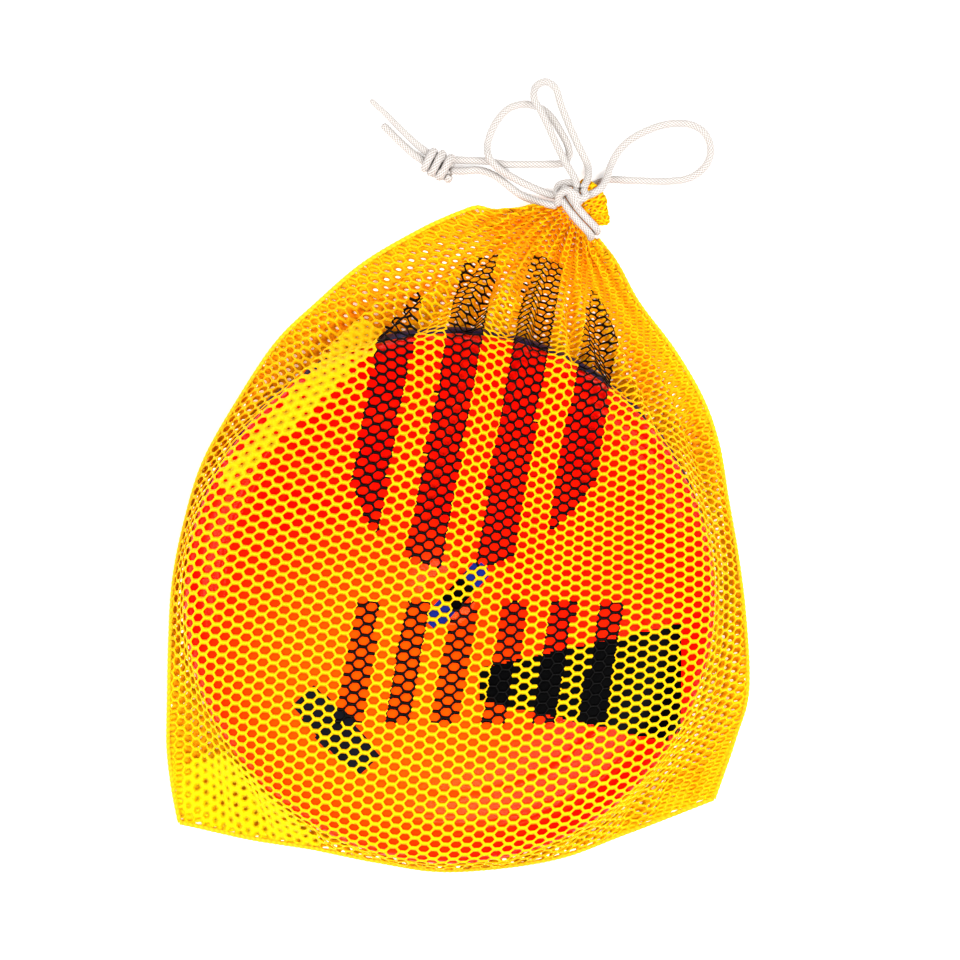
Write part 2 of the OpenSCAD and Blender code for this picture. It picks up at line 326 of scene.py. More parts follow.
def knitted_net(name, light, deep, roughness=0.6, sheen=0.02, glow=0.5, painted_glow=0.07):
    """Yarn between two dyes mixed by painted shade; glow is the scatter inside it, painted_glow a faint warm emission
    painted on as glow.
    """
    material, shader = start_material(
        name, Roughness=roughness, IOR=1.54, Specular_IOR_Level=0.12, Sheen_Weight=sheen, Sheen_Roughness=0.4,
        # The emission colour and strength are a painted glow: the yarn gives off a faint warm light of its own.
        Emission_Color=hex_colour("FFB000"), Emission_Strength=painted_glow,
        Subsurface_Weight=glow, Subsurface_Radius=(1.0, 0.55, 0.1), Subsurface_Scale=1.5 * MM)
    where = add_node(material, "ShaderNodeTexCoord")
    # This attribute is painted shade: higher values mix the dye towards the shaded orange, lower ones paint it
    # lighter.
    depth = add_node(material, "ShaderNodeAttribute", {"attribute_name": "depth"})
    patches = add_node(material, "ShaderNodeTexNoise", links={"Vector": where.outputs["Object"]},
                       Scale=1 / (40 * MM), Detail=3.0)
    mottled = add_node(material, "ShaderNodeMath", {"operation": "MULTIPLY_ADD"},
                       {0: patches.outputs["Fac"], 2: depth.outputs["Fac"]})
    mottled.inputs[1].default_value = MOTTLE
    dye = add_node(material, "ShaderNodeValToRGB", links={"Fac": mottled.outputs[0]})
    dye.color_ramp.elements[0].position, dye.color_ramp.elements[0].color = 0.12, hex_colour(light)
    dye.color_ramp.elements[1].position, dye.color_ramp.elements[1].color = 0.9, hex_colour(deep)
    wire(material, dye.outputs["Color"], shader.inputs["Base Color"])
    yarn = add_node(material, "ShaderNodeTexWave", {"bands_direction": "DIAGONAL"},
                    {"Vector": where.outputs["Object"]}, Scale=YARN_BUMPS,
                    Distortion=2.5, Detail=2.0, Detail_Scale=1.5)
    bump = add_node(material, "ShaderNodeBump", links={"Height": yarn.outputs["Fac"]},
                    Strength=0.35, Distance=0.12 * MM)
    wire(material, bump.outputs["Normal"], shader.inputs["Normal"])
    return material


# Both yellow nets carry the painted glow; the ink has none.
yellow_net = knitted_net("knitted_polyester_net", "FFCE00", "F48600")
black_ink = knitted_net("screen_printed_black_ink", "050506", "0C0908",
                        roughness=0.5, sheen=0.0, glow=0.0, painted_glow=0.0)
hem_net = knitted_net("knitted_polyester_hem", "FFC200", "F08000")

# %% [markdown]
# ### Sewing thread and cotton cord
# The seams are overlocked with spun yellow thread. The drawcord is bleached cotton, braided
# from thin yarns and very matt; a warm grey is painted as shade in the grooves between the yarns.

# %% Thread and cord materials
def spun_yarn(name, light, groove_shade_colour, fibre_mm, sheen):
    material, shader = start_material(
        name, Roughness=0.85, IOR=1.47, Sheen_Weight=sheen, Sheen_Roughness=0.6)
    where = add_node(material, "ShaderNodeTexCoord")
    # Painted shade: the colour darkens towards the dark grey where the surface lies low between yarns or thread loops.
    groove = add_node(material, "ShaderNodeAttribute", {"attribute_name": "groove"})
    fuzz = add_node(material, "ShaderNodeTexNoise", links={"Vector": where.outputs["Object"]},
                    Scale=1 / (fibre_mm * MM), Detail=4.0, Roughness=0.7)
    shade = add_node(material, "ShaderNodeMath", {"operation": "MULTIPLY_ADD"},
                     {0: fuzz.outputs["Fac"], 2: groove.outputs["Fac"]})
    shade.inputs[1].default_value = 0.35
    colour = add_node(material, "ShaderNodeValToRGB", links={"Fac": shade.outputs[0]})
    colour.color_ramp.elements[0].position, colour.color_ramp.elements[0].color = 0.15, hex_colour(light)
    colour.color_ramp.elements[1].position, colour.color_ramp.elements[1].color = 1.1, hex_colour(groove_shade_colour)
    wire(material, colour.outputs["Color"], shader.inputs["Base Color"])
    bump = add_node(material, "ShaderNodeBump", links={"Height": fuzz.outputs["Fac"]},
                    Strength=0.4, Distance=0.15 * MM)
    wire(material, bump.outputs["Normal"], shader.inputs["Normal"])
    return material


braided_cotton = spun_yarn("bleached_braided_cotton", "DEDCDA", "7C6858", 0.5, 0.1)
overlock_thread = spun_yarn("spun_polyester_thread", "FCC600", "EE9600", 0.4, 0.05)

# %% [markdown]
# ### Moulded polyethylene discs
# A flying disc is injection moulded from soft, glossy polyethylene. The mould leaves a very
# fine orange-peel surface, so highlights are broad but clear, and handling leaves faint
# scuffs that change the roughness in streaks. On the red disc a broad orange patch is painted
# as a warm reflection, so its colour is mixed by the distance from the patch's middle.

# %% Disc materials
# The middle and reach of the painted warm reflection on the red disc.
WARM_REFLECTION_MIDDLE = (-0.042, -0.092, 0.045)
WARM_REFLECTION_WITHIN, WARM_REFLECTION_UPTO = 0.035, 0.105

def moulded_plastic(name, colour, scuffed, roughness, scuff_roughness,
                    gloss_tint="FFFFFF", painted_warm_reflection=None, coat=0.08):
    """Glossy plastic with scuffs; painted_warm_reflection is the colour of a painted warm reflection patch, if it has
    one.
    """
    material, shader = start_material(
        name, IOR=1.51, Specular_IOR_Level=0.35, Specular_Tint=hex_colour(gloss_tint),
        Coat_Weight=coat, Coat_Roughness=0.1)
    where = add_node(material, "ShaderNodeTexCoord")
    scuff = add_node(material, "ShaderNodeTexNoise", links={"Vector": where.outputs["Object"]},
                     Scale=1 / (25 * MM), Detail=6.0, Roughness=0.65, Distortion=0.8)
    tint = add_node(material, "ShaderNodeValToRGB", links={"Fac": scuff.outputs["Fac"]})
    tint.color_ramp.elements[0].position, tint.color_ramp.elements[0].color = 0.35, hex_colour(colour)
    tint.color_ramp.elements[1].position, tint.color_ramp.elements[1].color = 0.75, hex_colour(scuffed)
    colour_out = tint.outputs["Color"]
    # A painted warm reflection: orange mixed in by the distance from its middle.
    if painted_warm_reflection:
        away = add_node(material, "ShaderNodeVectorMath", {"operation": "DISTANCE"},
                        {0: where.outputs["Object"]})
        away.inputs[1].default_value = WARM_REFLECTION_MIDDLE
        share = add_node(material, "ShaderNodeMapRange", {"interpolation_type": "SMOOTHSTEP"},
                         {"Value": away.outputs["Value"]},
                         From_Min=WARM_REFLECTION_WITHIN, From_Max=WARM_REFLECTION_UPTO, To_Min=1.0, To_Max=0.0)
        mix = add_node(material, "ShaderNodeMixRGB",
                       links={"Fac": share.outputs["Result"], "Color1": colour_out},
                       Color2=hex_colour(painted_warm_reflection))
        colour_out = mix.outputs["Color"]
    wire(material, colour_out, shader.inputs["Base Color"])
    rough = add_node(material, "ShaderNodeMapRange", links={"Value": scuff.outputs["Fac"]},
                     From_Min=0.3, From_Max=0.8, To_Min=roughness, To_Max=scuff_roughness)
    wire(material, rough.outputs["Result"], shader.inputs["Roughness"])
    peel = add_node(material, "ShaderNodeTexNoise", links={"Vector": where.outputs["Object"]},
                    Scale=1 / (1.2 * MM), Detail=2.0)
    bump = add_node(material, "ShaderNodeBump", links={"Height": peel.outputs["Fac"]},
                    Strength=0.08, Distance=0.1 * MM)
    wire(material, bump.outputs["Normal"], shader.inputs["Normal"])
    return material


# FA5200 is a painted warm reflection on the red disc.
red_plastic = moulded_plastic("moulded_polyethylene_red", "EC0000", "F01C00", 0.24, 0.42,
                              "FF7A20", painted_warm_reflection="FA5200")
blue_plastic = moulded_plastic("moulded_polyethylene_navy", "0D1B52", "16276B", 0.28, 0.45)
foil_black = moulded_plastic("pad_printed_black_film", "020203", "060607", 0.22, 0.4, "484848", coat=0.0)
foil_grey = moulded_plastic("pad_printed_grey_film", "0E0F16", "181A24", 0.3, 0.5, "606060", coat=0.0)
foil_blue = moulded_plastic("pad_printed_blue_film", "061C74", "0C2C8C", 0.3, 0.5, "909090", coat=0.0)

# %% [markdown]
# ## The drawcord
# A braided cord keeps its length, so its path is decided first: two loops of the bow and two
# strands that end in a stopper knot. Every path is a smooth curve through the CAD's points.

# %% Cord paths, in metres
CORD_D = 0.004
RIGHT_LOOP = [
    (0.062, 0.1635, 0.012), (0.0685, 0.166, 0.013), (0.0725, 0.169, 0.0115), (0.075, 0.174, 0.0075),
    (0.0775, 0.181, 0.0026), (0.0815, 0.188, 0.002), (0.088, 0.194, 0.002), (0.098, 0.199, 0.002),
    (0.108, 0.2015, 0.002), (0.117, 0.201, 0.002), (0.1235, 0.1975, 0.002), (0.127, 0.1915, 0.002),
    (0.127, 0.1845, 0.002), (0.1235, 0.1785, 0.002), (0.1165, 0.174, 0.002), (0.107, 0.1725, 0.002),
    (0.096, 0.1725, 0.002), (0.084, 0.173, 0.002), (0.075, 0.173, 0.002), (0.068, 0.170, 0.0022),
    (0.0625, 0.1655, 0.0045)]
TOP_LOOP = [
    (0.060, 0.168, 0.012), (0.0585, 0.174, 0.0095), (0.054, 0.182, 0.0072), (0.0495, 0.191, 0.0062),
    (0.0455, 0.200, 0.0062), (0.0415, 0.208, 0.0066), (0.0385, 0.214, 0.0056), (0.0395, 0.220, 0.0036),
    (0.0445, 0.2225, 0.0024), (0.0495, 0.219, 0.002), (0.052, 0.211, 0.002), (0.0565, 0.200, 0.002),
    (0.0615, 0.189, 0.002), (0.0655, 0.1805, 0.003), (0.0655, 0.174, 0.0085), (0.063, 0.168, 0.0135)]
LONG_STRAND = [
    (0.050, 0.1645, 0.009), (0.045, 0.166, 0.0055), (0.037, 0.1695, 0.0028), (0.029, 0.1735, 0.003),
    (0.023, 0.177, 0.005), (0.0185, 0.1805, 0.0064), (0.0155, 0.185, 0.006), (0.015, 0.190, 0.003),
    (0.0165, 0.196, 0.002), (0.020, 0.203, 0.002), (0.025, 0.2085, 0.002), (0.031, 0.211, 0.002),
    (0.037, 0.2108, 0.002), (0.043, 0.2085, 0.002), (0.048, 0.2035, 0.002), (0.052, 0.197, 0.002),
    (0.0555, 0.1905, 0.002), (0.056, 0.185, 0.002), (0.052, 0.1815, 0.002), (0.045, 0.181, 0.002),
    (0.034, 0.181, 0.002), (0.024, 0.181, 0.002), (0.014, 0.1825, 0.002), (0.003, 0.183, 0.0026),
    (-0.004, 0.183, 0.005)]
SHORT_STRAND = [
    (0.050, 0.1595, 0.012), (0.044, 0.1608, 0.0096), (0.037, 0.163, 0.0046), (0.030, 0.1665, 0.002),
    (0.023, 0.172, 0.002), (0.017, 0.176, 0.002), (0.010, 0.178, 0.002), (0.003, 0.1775, 0.0028),
    (-0.004, 0.1775, 0.005)]
UPPER_TIP = [
    (-0.013, 0.185, 0.005), (-0.020, 0.1905, 0.0022), (-0.028, 0.198, 0.002), (-0.036, 0.206, 0.002),
    (-0.044, 0.2135, 0.002)]
LOWER_TIP = [
    (-0.0125, 0.179, 0.0055), (-0.016, 0.1815, 0.005), (-0.023, 0.1865, 0.0022), (-0.030, 0.193, 0.002),
    (-0.038, 0.201, 0.002)]

# %% Smooth curve through given points
def smooth_path(points, step):
    """Catmull-Rom curve through points, sampled evenly at about step; units stay as given."""
    p = np.asarray(points, float)
    p = np.vstack([2 * p[0] - p[1], p, 2 * p[-1] - p[-2]])
    t = np.linspace(0, 1, 24, endpoint=False)[:, None]
    dense = [b + 0.5 * t * (c - a + t * (2 * a - 5 * b + 4 * c - d + t * (3 * (b - c) + d - a)))
             for a, b, c, d in zip(p[:-3], p[1:-2], p[2:-1], p[3:])]
    dense = np.vstack(dense + [p[-2:-1]])
    run = np.concatenate([[0], np.cumsum(np.linalg.norm(np.diff(dense, axis=0), axis=1))])
    even = np.linspace(0, run[-1], max(2, int(run[-1] / step)) + 1)
    return np.stack([np.interp(even, run, dense[:, k]) for k in range(3)], 1)


def path_length(path):
    return float(np.linalg.norm(np.diff(path, axis=0), axis=1).sum())


# %% [markdown]
# A braid is two sets of yarns that wind round the cord in opposite directions and cross over
# and under. Its surface is a tube whose radius rises and falls as two crossing waves.

# %% A braided cord as a mesh tube
BRAID_SIDES = 32
BRAID_STRANDS = 8
BRAID_PITCH = 15.0
BRAID_RELIEF = 0.26
BRAID_STEP = 0.5

def turning_frames(path):
    """Side and up directions along a path that never twist suddenly."""
    along = np.gradient(path, axis=0)
    along /= np.linalg.norm(along, axis=1, keepdims=True)
    side = np.cross([0, 0, 1.0], along[0])
    if np.linalg.norm(side) < 0.1:
        side = np.cross([0, 1.0, 0], along[0])
    sides = []
    for t in along:
        side = side - t * (side @ t)
        side = side / np.linalg.norm(side)
        sides.append(side)
    sides = np.array(sides)
    return sides, np.cross(along, sides)


def braided_tube(paths, diameter=CORD_D / MM, taper=None):
    """Points, faces and painted shade in the grooves of braided tubes along paths in millimetres."""
    points, faces, grooves = [], [], []
    for path in paths:
        path = smooth_path(path, BRAID_STEP)
        side, up = turning_frames(path)
        run = np.linspace(0, path_length(path), len(path))[:, None]
        turn = np.linspace(0, 2 * math.pi, BRAID_SIDES, endpoint=False)[None]
        a = BRAID_STRANDS * turn + 2 * math.pi * run * BRAID_STRANDS / BRAID_PITCH
        b = BRAID_STRANDS * turn - 2 * math.pi * run * BRAID_STRANDS / BRAID_PITCH
        wave = (np.cos(a) + np.cos(b)) / 4 + 0.5
        radius = diameter / 2 - BRAID_RELIEF * (1 - wave)
        radius = radius * (np.interp(run, [0, run[-1, 0]], taper) if taper is not None else 1.0)
        for end, rank in ((0, 0), (0, 1), (-1, 1), (-1, 0)):
            index = end - rank if end else rank
            radius[index] *= (0.35, 0.82)[rank]
        ring = path[:, None] + radius[..., None] * (
            np.cos(turn)[..., None] * side[:, None] + np.sin(turn)[..., None] * up[:, None])
        first, n = sum(map(len, points)), len(path)
        points.append(ring.reshape(-1, 3))
        # Painted shade: the lower the braid's surface lies, the darker it is coloured.
        grooves.append((1 - wave).ravel() ** 2)
        i, k = np.meshgrid(np.arange(n - 1), np.arange(BRAID_SIDES), indexing="ij")
        here, nxt = first + i * BRAID_SIDES + k, first + i * BRAID_SIDES + (k + 1) % BRAID_SIDES
        faces += np.stack([here, nxt, nxt + BRAID_SIDES, here + BRAID_SIDES], -1).reshape(-1, 4).tolist()
        faces.append([first + k for k in reversed(range(BRAID_SIDES))])
        faces.append([first + (n - 1) * BRAID_SIDES + k for k in range(BRAID_SIDES)])
    return np.vstack(points), faces, np.concatenate(grooves)


def value_on_points(piece, name, values):
    layer = piece.data.attributes.new(name, "FLOAT", "POINT")
    layer.data.foreach_set("value", np.asarray(values, np.float32))


def cord_piece(name, *paths, nodes=None, taper=None):
    points, faces, grooves = braided_tube([np.asarray(p) / MM for p in paths], taper=taper)
    piece = new_piece("cord_" + name, points, faces)
    value_on_points(piece, "groove", grooves)
    return dress(piece, "bag", "cotton_cord", braided_cotton, nodes=nodes or [name])


# %% [markdown]
# The stopper knot is one overhand knot tied in both strands at once, so it shows pairs of
# turns side by side. It is wound as a real coil round its own core, then flattened a little
# because it lies on the table.

# %% The stopper knot
KNOT_MIDDLE = np.array([-0.0092, 0.1805, 0.0056])
KNOT_ALONG = np.array([-0.94, 0.34, 0.0])
KNOT_ACROSS = np.array([0.34, 0.94, 0.0])

def knot_turns(offset, turns, start, half_width, half_height):
    """A winding round the knot's core, offset along it, in metres."""
    angle = np.linspace(start, start + 2 * math.pi * turns, int(14 * turns) + 2)
    along = offset + 0.0042 * (angle - angle[0]) / (2 * math.pi)
    return [KNOT_MIDDLE + KNOT_ALONG * s + KNOT_ACROSS * half_width * math.cos(a)
            + np.array([0, 0, 1]) * half_height * math.sin(a) for a, s in zip(angle, along)]


stopper = cord_piece(
    "stopper_knot",
    knot_turns(-0.0072, 1.15, 2.2, 0.0056, 0.0033),
    knot_turns(-0.0026, 1.15, 1.9, 0.0060, 0.0034),
    knot_turns(0.0022, 1.1, 2.3, 0.0055, 0.0033),
    [(-0.004, 0.183, 0.005), (-0.009, 0.1835, 0.0066), (-0.013, 0.185, 0.005)],
    [(-0.004, 0.1775, 0.005), (-0.008, 0.1745, 0.0045), (-0.0125, 0.1765, 0.0055), (-0.0125, 0.1795, 0.0055)])

# %% [markdown]
# The bow is tied round the neck: two turns of cord pull the cloth tight, and the knot's short
# pieces of cord cross each other on top of it.

# %% The neck wrap and the bow's knot
TIE = np.array([0.060, 0.156, 0.0086])
ACROSS = np.array([0.63, -0.777, 0.0])
OUT = np.array([0.777, 0.63, 0.0])
UP = np.array([0, 0, 1.0])
WRAP_HALF_WIDTH, WRAP_HALF_HEIGHT, WRAP_OFFSET, WRAP_WAVER = 0.0136, 0.0065, 0.0021, 0.0004

wrap_angles = np.linspace(-2.8, -2.8 + 2 * math.pi * 0.985, 40)
wrap_paths = [[TIE + OUT * (side * WRAP_OFFSET + WRAP_WAVER * math.sin(3 * a))
               + ACROSS * WRAP_HALF_WIDTH * math.cos(a) + UP * WRAP_HALF_HEIGHT * math.sin(a)
               for a in wrap_angles] for side in (-1, 1)]
wrap = cord_piece("neck_wrap", *wrap_paths)

bow_knot = cord_piece(
    "bow_knot",
    [(0.0500, 0.1645, 0.009), (0.0505, 0.1695, 0.0085), (0.055, 0.1712, 0.0085), (0.060, 0.1700, 0.0090),
     (0.0625, 0.1655, 0.0085)],
    [(0.0500, 0.1595, 0.012), (0.0515, 0.1650, 0.0155), (0.0555, 0.1665, 0.0172), (0.0600, 0.1640, 0.0165),
     (0.0610, 0.1600, 0.0140)],
    [(0.0530, 0.1690, 0.0125), (0.0560, 0.1655, 0.0160), (0.0590, 0.1615, 0.0172), (0.0600, 0.1575, 0.0160)],
    [(0.0600, 0.1680, 0.0120), (0.0585, 0.1650, 0.0140), (0.0605, 0.1625, 0.0168), (0.0640, 0.1640, 0.0165),
     (0.0630, 0.1680, 0.0135)])

# %% The free lengths of cord
right_loop = cord_piece("right_loop", RIGHT_LOOP)
top_loop = cord_piece("top_loop", TOP_LOOP)
long_strand = cord_piece("long_strand", LONG_STRAND)
short_strand = cord_piece("short_strand", SHORT_STRAND)
upper_tip = cord_piece("upper_tip", UPPER_TIP, taper=[1.0, 0.72])
lower_tip = cord_piece("lower_tip", LOWER_TIP)

for piece, route, far_end, extras in (
        (right_loop, RIGHT_LOOP, "object", []), (top_loop, TOP_LOOP, "object", []),
        (long_strand, LONG_STRAND, "knot", [stopper]), (short_strand, SHORT_STRAND, "knot", []),
        (upper_tip, UPPER_TIP, "bare", []), (lower_tip, LOWER_TIP, "bare", [])):
    line = smooth_path(route, 0.0008)
    print(piece.name, "length", round(path_length(line), 4), "m")
    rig.cord(piece, exit=route[0], length=round(path_length(line), 3), diameter=CORD_D, far_end=far_end,
            stiffness="limp", lay="loose", path=line.tolist(), with_pieces=extras)

# %% [markdown]
# ## Draping the two panels
# Each panel is cut as a rectangle of net. Draping is a small simulation: the cloth is a grid
# of points, every pair of neighbours pulls back when it is stretched, the discs push the
# points out, and gravity pulls them down a little at each step. Net gives way easily when it
# is pushed together, so the pull against stretching is strong and the push is weak. The discs
# can slide a little in the slack bag, so the back panel also keeps clear of where they go.

# %% Cut sizes and the bag's outline
PANEL_WIDTH, PANEL_LENGTH = 318.0, 405.0
GRID = 8.0
LEFT_EDGE = [(-140, -150.5, 0), (-143.5, -132, 0), (-145.5, -112, 0), (-145, -88, 0), (-144, -58, 0),
             (-142, -28, 0), (-136, 2, 0), (-127, 31, 0), (-110, 62, 0), (-91, 91, 0), (-71, 110.5, 0),
             (-47, 131, 0), (-18, 148, 0), (1, 156.5, 0), (11, 159.5, 0), (19, 157.5, 0), (41, 159.5, 0),
             (50, 161.5, 0)]
RIGHT_EDGE = [(129, -138.5, 0), (139.5, -108, 0), (145.5, -84, 0), (144, -48, 0), (140.5, -18, 0),
              (135.5, 12, 0), (131.5, 38, 0), (123.5, 62, 0), (109, 87, 0), (91, 111, 0), (80, 131, 0),
              (71, 142.5, 0), (66, 147, 0)]
BOTTOM_EDGE = [(-140, -150.5, 0), (-106, -157.5, 0), (-74, -162, 0), (-40, -168.5, 0), (-4, -173, 0),
               (46, -168, 0), (81, -157, 0), (129, -138.5, 0)]

columns = int(round(PANEL_WIDTH / GRID)) + 1
rows = int(round(PANEL_LENGTH / GRID)) + 1
share_u, share_v = np.linspace(0, 1, columns), np.linspace(0, 1, rows)
step_u, step_v = PANEL_WIDTH / (columns - 1), PANEL_LENGTH / (rows - 1)

def along_edge(edge, share):
    line = smooth_path(edge, 2.0)
    run = np.linspace(0, 1, len(line))
    return np.stack([np.interp(share, run, line[:, k]) for k in range(2)], 1)


left, right, bottom = (along_edge(LEFT_EDGE, share_v), along_edge(RIGHT_EDGE, share_v),
                       along_edge(BOTTOM_EDGE, share_u))
neck_middle = (TIE - OUT * 0.0034) / MM
NECK_HALF_WIDTH, NECK_HALF_HEIGHT = 10.6, 3.9
neck_turn = math.pi * (1 - share_u)
neck_top, neck_low = (neck_middle + np.outer(np.cos(neck_turn), ACROSS) * NECK_HALF_WIDTH
                      + sign * np.outer(np.sin(neck_turn), UP) * NECK_HALF_HEIGHT for sign in (1, -1))

# %% The discs as things to push against
DISC_R, PLATE_R, DISC_H, EDGE_Z = 132.0, 97.0, 25.0, 8.0
RED_MIDDLE, RED_Z = np.array([-4.0, -37.0]), 21.9
BLUE_MIDDLE, BLUE_Z = np.array([-4.0, -33.0]), 1.4

def disc_outline(level):
    """Radius and height pairs, from the middle of the plate round to the middle below."""
    turn = np.radians(np.arange(0, 91, 7.5))
    shoulder = np.stack([PLATE_R + (DISC_R - PLATE_R) * np.sin(turn),
                         level + EDGE_Z + (DISC_H - EDGE_Z) * np.cos(turn)], 1)
    return np.vstack([[0, level + DISC_H], shoulder, [DISC_R, level + EDGE_Z - 1],
                      [DISC_R - 1.2, level], [0, level]])


def push_off(points, middle, outline, gap, most=6.0):
    """Move points that are nearer than gap to a disc, or inside it, to its nearest surface."""
    flat = points[..., :2] - middle
    radius = np.maximum(np.hypot(flat[..., 0], flat[..., 1]), 1e-6)
    spot = np.stack([radius, points[..., 2]], -1)
    best = np.full(radius.shape, 1e9)
    away = np.zeros(spot.shape)
    crossings = np.zeros(radius.shape, int)
    for a, b in zip(outline, np.roll(outline, -1, axis=0)):
        run = b - a
        if run[1]:
            between = (spot[..., 1] >= min(a[1], b[1])) & (spot[..., 1] < max(a[1], b[1]))
            crossings += between & (radius < a[0] + (spot[..., 1] - a[1]) * run[0] / run[1])
        if a[0] == 0 and b[0] == 0:
            continue
        part = np.clip((spot - a) @ run / (run @ run), 0, 1)
        leg = spot - (a + part[..., None] * run)
        distance = np.hypot(leg[..., 0], leg[..., 1])
        outward = np.array([-run[1], run[0]]) / np.hypot(*run)
        normal = np.where((distance > 1e-6)[..., None], leg / np.maximum(distance, 1e-6)[..., None], outward)
        normal = np.where((((spot - a) @ outward) < 0)[..., None], -normal, normal)
        nearer = distance < best
        best, away = np.where(nearer, distance, best), np.where(nearer[..., None], normal, away)
    inside = crossings % 2 == 1
    move = np.clip(gap - np.where(inside, -best, best), 0, most)
    moved = spot + move[..., None] * away
    hit = move > 0
    result = points.copy()
    for k in range(2):
        pushed = middle[k] + flat[..., k] / radius * np.maximum(moved[..., 0], 0)
        result[..., k] = np.where(hit, pushed, points[..., k])
    result[..., 2] = np.where(hit, moved[..., 1], points[..., 2])
    return result


DISCS = [(RED_MIDDLE, disc_outline(RED_Z)), (BLUE_MIDDLE, disc_outline(BLUE_Z))]
CONTENTS_SHIFT = 8.0
SHIFTED_BLUE = [(BLUE_MIDDLE + np.array([share * CONTENTS_SHIFT, 0.0]), disc_outline(BLUE_Z))
                for share in (0.35, 0.7, 1.1)]
CLOTH_GAP = 0.85

def off_the_discs(points, discs=DISCS):
    for middle, outline in discs:
        points = push_off(points, middle, outline, CLOTH_GAP)
    return points


def off_all(cloth):
    """Both panels clear the discs; the back one also leaves room for them to slide."""
    cloth = off_the_discs(cloth)
    cloth[1] = off_the_discs(cloth[1], SHIFTED_BLUE)
    return cloth


# %% The start: a smooth patch between the four edges
def patch(top):
    """A Coons patch: it blends the four edges of the bag into one surface."""
    u, v = np.meshgrid(share_u, share_v, indexing="ij")
    surface = np.zeros((columns, rows, 2))
    for k in range(2):
        edges = ((1 - u) * left[None, :, k] + u * right[None, :, k] + (1 - v) * bottom[:, None, k]
                 + v * top[:, None, k])
        corners = ((1 - u) * (1 - v) * bottom[0, k] + u * (1 - v) * bottom[-1, k]
                   + (1 - u) * v * top[0, k] + u * v * top[-1, k])
        surface[..., k] = edges - corners
    return surface


plan = patch(neck_top[:, :2])
from_middle = np.hypot(plan[..., 0] - RED_MIDDLE[0], plan[..., 1] - RED_MIDDLE[1])
start_height = np.clip(48 - (from_middle - 120) * 1.4, 9, 48)
cloth = np.stack([np.dstack([plan, start_height]), np.dstack([plan, np.full(plan.shape[:2], 0.5)])])
to_edge = np.minimum.reduce([np.broadcast_to(share_u[:, None] * PANEL_WIDTH, plan.shape[:2]),
                             np.broadcast_to((1 - share_u[:, None]) * PANEL_WIDTH, plan.shape[:2]),
                             np.broadcast_to(share_v[None] * PANEL_LENGTH, plan.shape[:2])])
layer_gap = 1.2 * np.clip(to_edge / 12, 0, 1)
NECK_ZONE = np.clip((share_v - 0.60) / 0.25, 0, 1)[None, :, None]

# %% One round of pulling neighbours together
def pull(cloth, di, dj, rest, tight, slack):
    """Bring each pair of points (di, dj) apart back towards its rest distance."""
    count_i, count_j = cloth.shape[1:3]
    for turn in range(2):
        i = np.arange(0, count_i - di)
        j = np.arange(max(0, -dj), count_j - max(0, dj))
        if di:
            i = i[(i // di) % 2 == turn]
        else:
            j = j[(j // dj) % 2 == turn]
        i, j = np.meshgrid(i, j, indexing="ij")
        gap = cloth[:, i + di, j + dj] - cloth[:, i, j]
        size = np.linalg.norm(gap, axis=-1, keepdims=True)
        share = 0.5 * np.where(size > rest, tight, slack) * (size - rest) / np.maximum(size, 1e-6)
        cloth[:, i, j] += share * gap
        cloth[:, i + di, j + dj] -= share * gap


def hold_edges(cloth):
    """Keep the sewn edges together and on the outline, and the top row round the tied neck."""
    for edge in (np.s_[0, :], np.s_[-1, :], np.s_[:, 0]):
        middle = 0.5 * (cloth[0][edge] + cloth[1][edge])
        cloth[0][edge] = cloth[1][edge] = middle
    for side in (0, 1):
        cloth[side, 0, :, :2], cloth[side, -1, :, :2], cloth[side, :, 0, :2] = left, right, bottom
    cloth[0, :, -1], cloth[1, :, -1] = neck_top, neck_low


def stay_apart(cloth):
    """Nothing sinks into the table, and the front stays above the back."""
    cloth[1, ..., 2] = np.maximum(cloth[1, ..., 2], 0.5)
    cloth[0, ..., 2] = np.maximum(cloth[0, ..., 2], np.maximum(cloth[1, ..., 2], 0.5) + layer_gap)
    cloth[0, 0, :, 2] = np.maximum(cloth[0, 0, :, 2], 1.5)


# %% Run the drape
DRAPE_STEPS, PULLS_A_STEP, IRONINGS_A_STEP = 30, 6, 3
FRONT_FALL, BACK_FALL = 0.35, 0.10
diagonal = math.hypot(step_u, step_v)
BONDS = (  # points across and along, rest distance, pull when stretched, push when squeezed
    (1, 0, step_u, 0.9, 0.02), (0, 1, step_v, 0.9, 0.02),
    (1, 1, diagonal, 0.35, 0.01), (1, -1, diagonal, 0.35, 0.01),
    (2, 0, 2 * step_u, 0.12, 0.01), (0, 2, 2 * step_v, 0.12, 0.01))
for step in range(DRAPE_STEPS):
    cloth[0, ..., 2] -= FRONT_FALL
    cloth[1, ..., 2] -= BACK_FALL
    for _ in range(PULLS_A_STEP):
        for di, dj, rest, tight, slack in BONDS:
            pull(cloth, di, dj, rest, tight, slack)
        hold_edges(cloth)
        cloth = off_all(cloth)
        stay_apart(cloth)
        hold_edges(cloth)
    for _ in range(IRONINGS_A_STEP):
        ironed = (cloth[:, 2:, 1:-1] + cloth[:, :-2, 1:-1] + cloth[:, 1:-1, 2:] + cloth[:, 1:-1, :-2]) / 4
        softness = 0.25 + 0.6 * NECK_ZONE[:, 1:-1]
        cloth[:, 1:-1, 1:-1] += softness * (ironed - cloth[:, 1:-1, 1:-1])
        cloth = off_all(cloth)
        stay_apart(cloth)
        hold_edges(cloth)
stretch_u = np.linalg.norm(np.diff(cloth[0], axis=0), axis=-1) / step_u
stretch_v = np.linalg.norm(np.diff(cloth[0], axis=1), axis=-1) / step_v
print("stretch across", np.percentile(stretch_u, [5, 50, 95]).round(2),
      "along", np.percentile(stretch_v, [5, 50, 95]).round(2))

